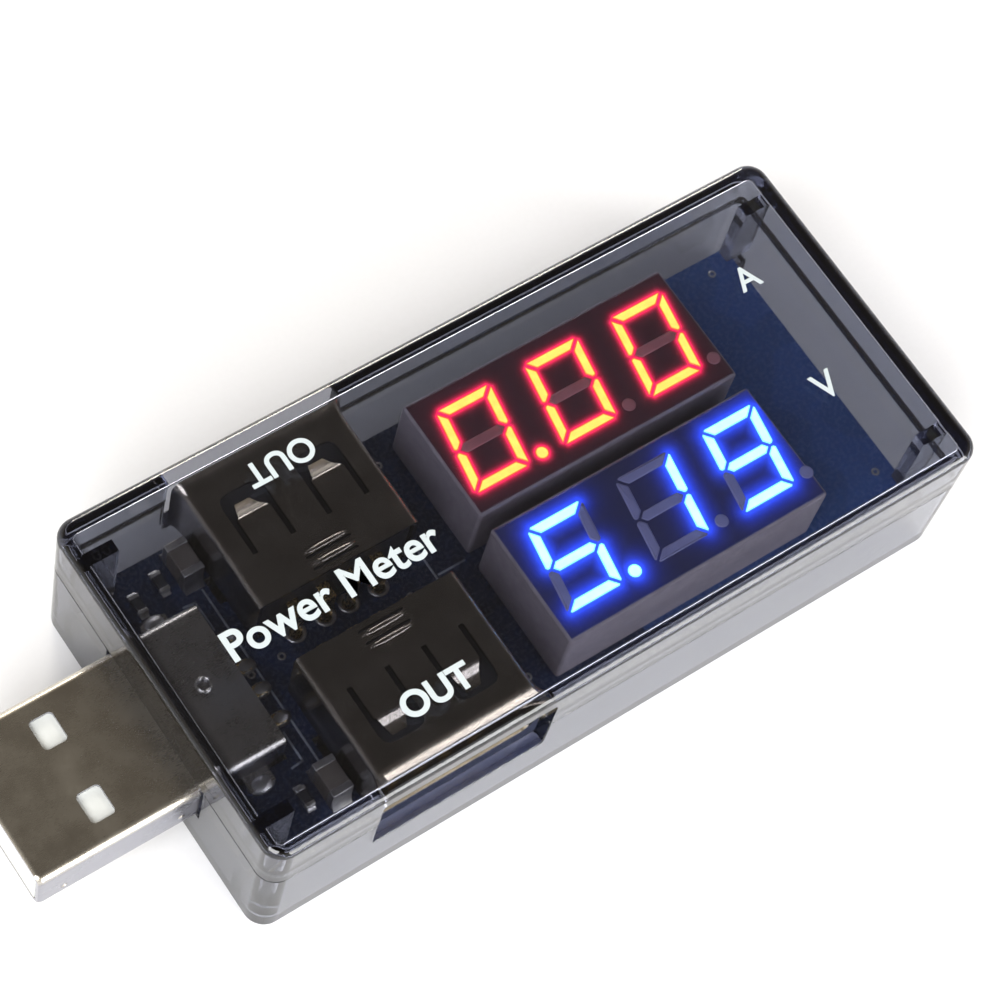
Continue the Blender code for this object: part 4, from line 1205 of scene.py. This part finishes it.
def make_coats(white):
    """Materials for the frame's nodes, by a word in the node's name."""
    black_resin = ((0.016, 0.016, 0.018), (0.028, 0.028, 0.03), (0.4, 0.6))
    black_plastic = ((0.02, 0.02, 0.022), (0.035, 0.034, 0.036), (0.35, 0.5))
    black_glaze = ((0.02, 0.02, 0.022), (0.035, 0.035, 0.04), (0.25, 0.4))
    tan_ceramic = ((0.085, 0.070, 0.055), (0.12, 0.10, 0.08), (0.3, 0.45))
    green_board = ((0.07, 0.12, 0.07), (0.10, 0.17, 0.10), (0.4, 0.55))
    gold = ((0.72, 0.50, 0.20), (0.88, 0.66, 0.30), (0.18, 0.35))
    return {
        "circuit_board": solder_mask(),
        "contact": textured("contact_gold", *gold, 1.0, size=0.15),
        "plug_insulator": white,
        "port_insulator": textured("black_plastic", *black_plastic, size=0.3),
        "display_base": textured("display_base", *green_board),
        "chip": textured("chip_black", *black_resin, size=0.1),
        "capacitor": textured("ceramic_tan", *tan_ceramic, size=0.2),
        "resistor": textured("resistor_black", *black_glaze, size=0.2),
        "regulator": textured("regulator_black", *black_resin, size=0.1),
    }


def dress_nodes(coats):
    """Gives the frame's nodes their materials, and rounds the sharp edges of those that stay in view."""
    for name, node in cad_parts.items():
        for word, material in coats.items():
            if word in name:
                node.data.materials.clear()
                node.data.materials.append(material)
        if name.endswith(SOFT_ENDINGS) or "_contact_" in name:
            weld = node.modifiers.new("joined", "WELD")
            weld.merge_threshold = 0.001 * MM
            soften(node, NODE_EDGE)


def make_small_parts(coats, tin):
    """The resistors, capacitors and chips, which replace the frame's plain blocks."""
    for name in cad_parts:
        for kind in ("resistor", "capacitor"):
            if kind in name:
                make_end_capped(name, coats[kind], tin)
    make_solder(tin)
    make_chip("controller_chip", coats["chip"], tin)
    make_chip("voltage_regulator", coats["regulator"], tin)


def main():
    bpy.context.scene.view_settings.view_transform = "Standard"
    make_camera()
    make_world()
    make_floor()
    for name, settings in LAMPS.items():
        add_lamp(name, *settings)

    plastic = smoky_plastic()
    make_upper_shell(plastic)
    make_lower_shell(plastic)

    # Each steel's third colour is painted shade for its upright faces
    plate = ((0.54, 0.50, 0.43), (0.60, 0.565, 0.49), (0.36, 0.36, 0.40))
    make_plug_shell(rolled_steel("plug_steel", *plate, 0.24, "X"))
    darker_plate = ((0.43, 0.38, 0.305), (0.50, 0.445, 0.362), (0.30, 0.29, 0.30))
    port_steel = rolled_steel("port_steel", *darker_plate, 0.16, "Y")
    for name, side in (("near", -1), ("far", 1)):
        make_port_shell(name, side, port_steel)
    white = textured("white_plastic", (0.62, 0.64, 0.62), (0.70, 0.72, 0.70), (0.35, 0.5), size=0.3)
    make_plug_front(white)
    make_displays()

    coats = make_coats(white)
    dress_nodes(coats)
    tin = textured("tinned_solder", (0.36, 0.34, 0.31), (0.50, 0.48, 0.44), (0.3, 0.5), 1.0, size=0.15)
    make_small_parts(coats, tin)

    printed = {"size": 0.15, "depth": 0.003}
    ink = textured("white_ink", (0.50, 0.565, 0.59), (0.58, 0.64, 0.66), (0.35, 0.5), **printed)
    board_ink = textured("board_ink", (0.26, 0.28, 0.30), (0.34, 0.36, 0.38), (0.4, 0.6), **printed)
    make_board_print(board_ink, tin)
    for name, (words, (x, y), width, turn, weight) in WORDS.items():
        print_words(name, words, (CASE_LOW.x + x, y), width, turn, weight, ink)


main()
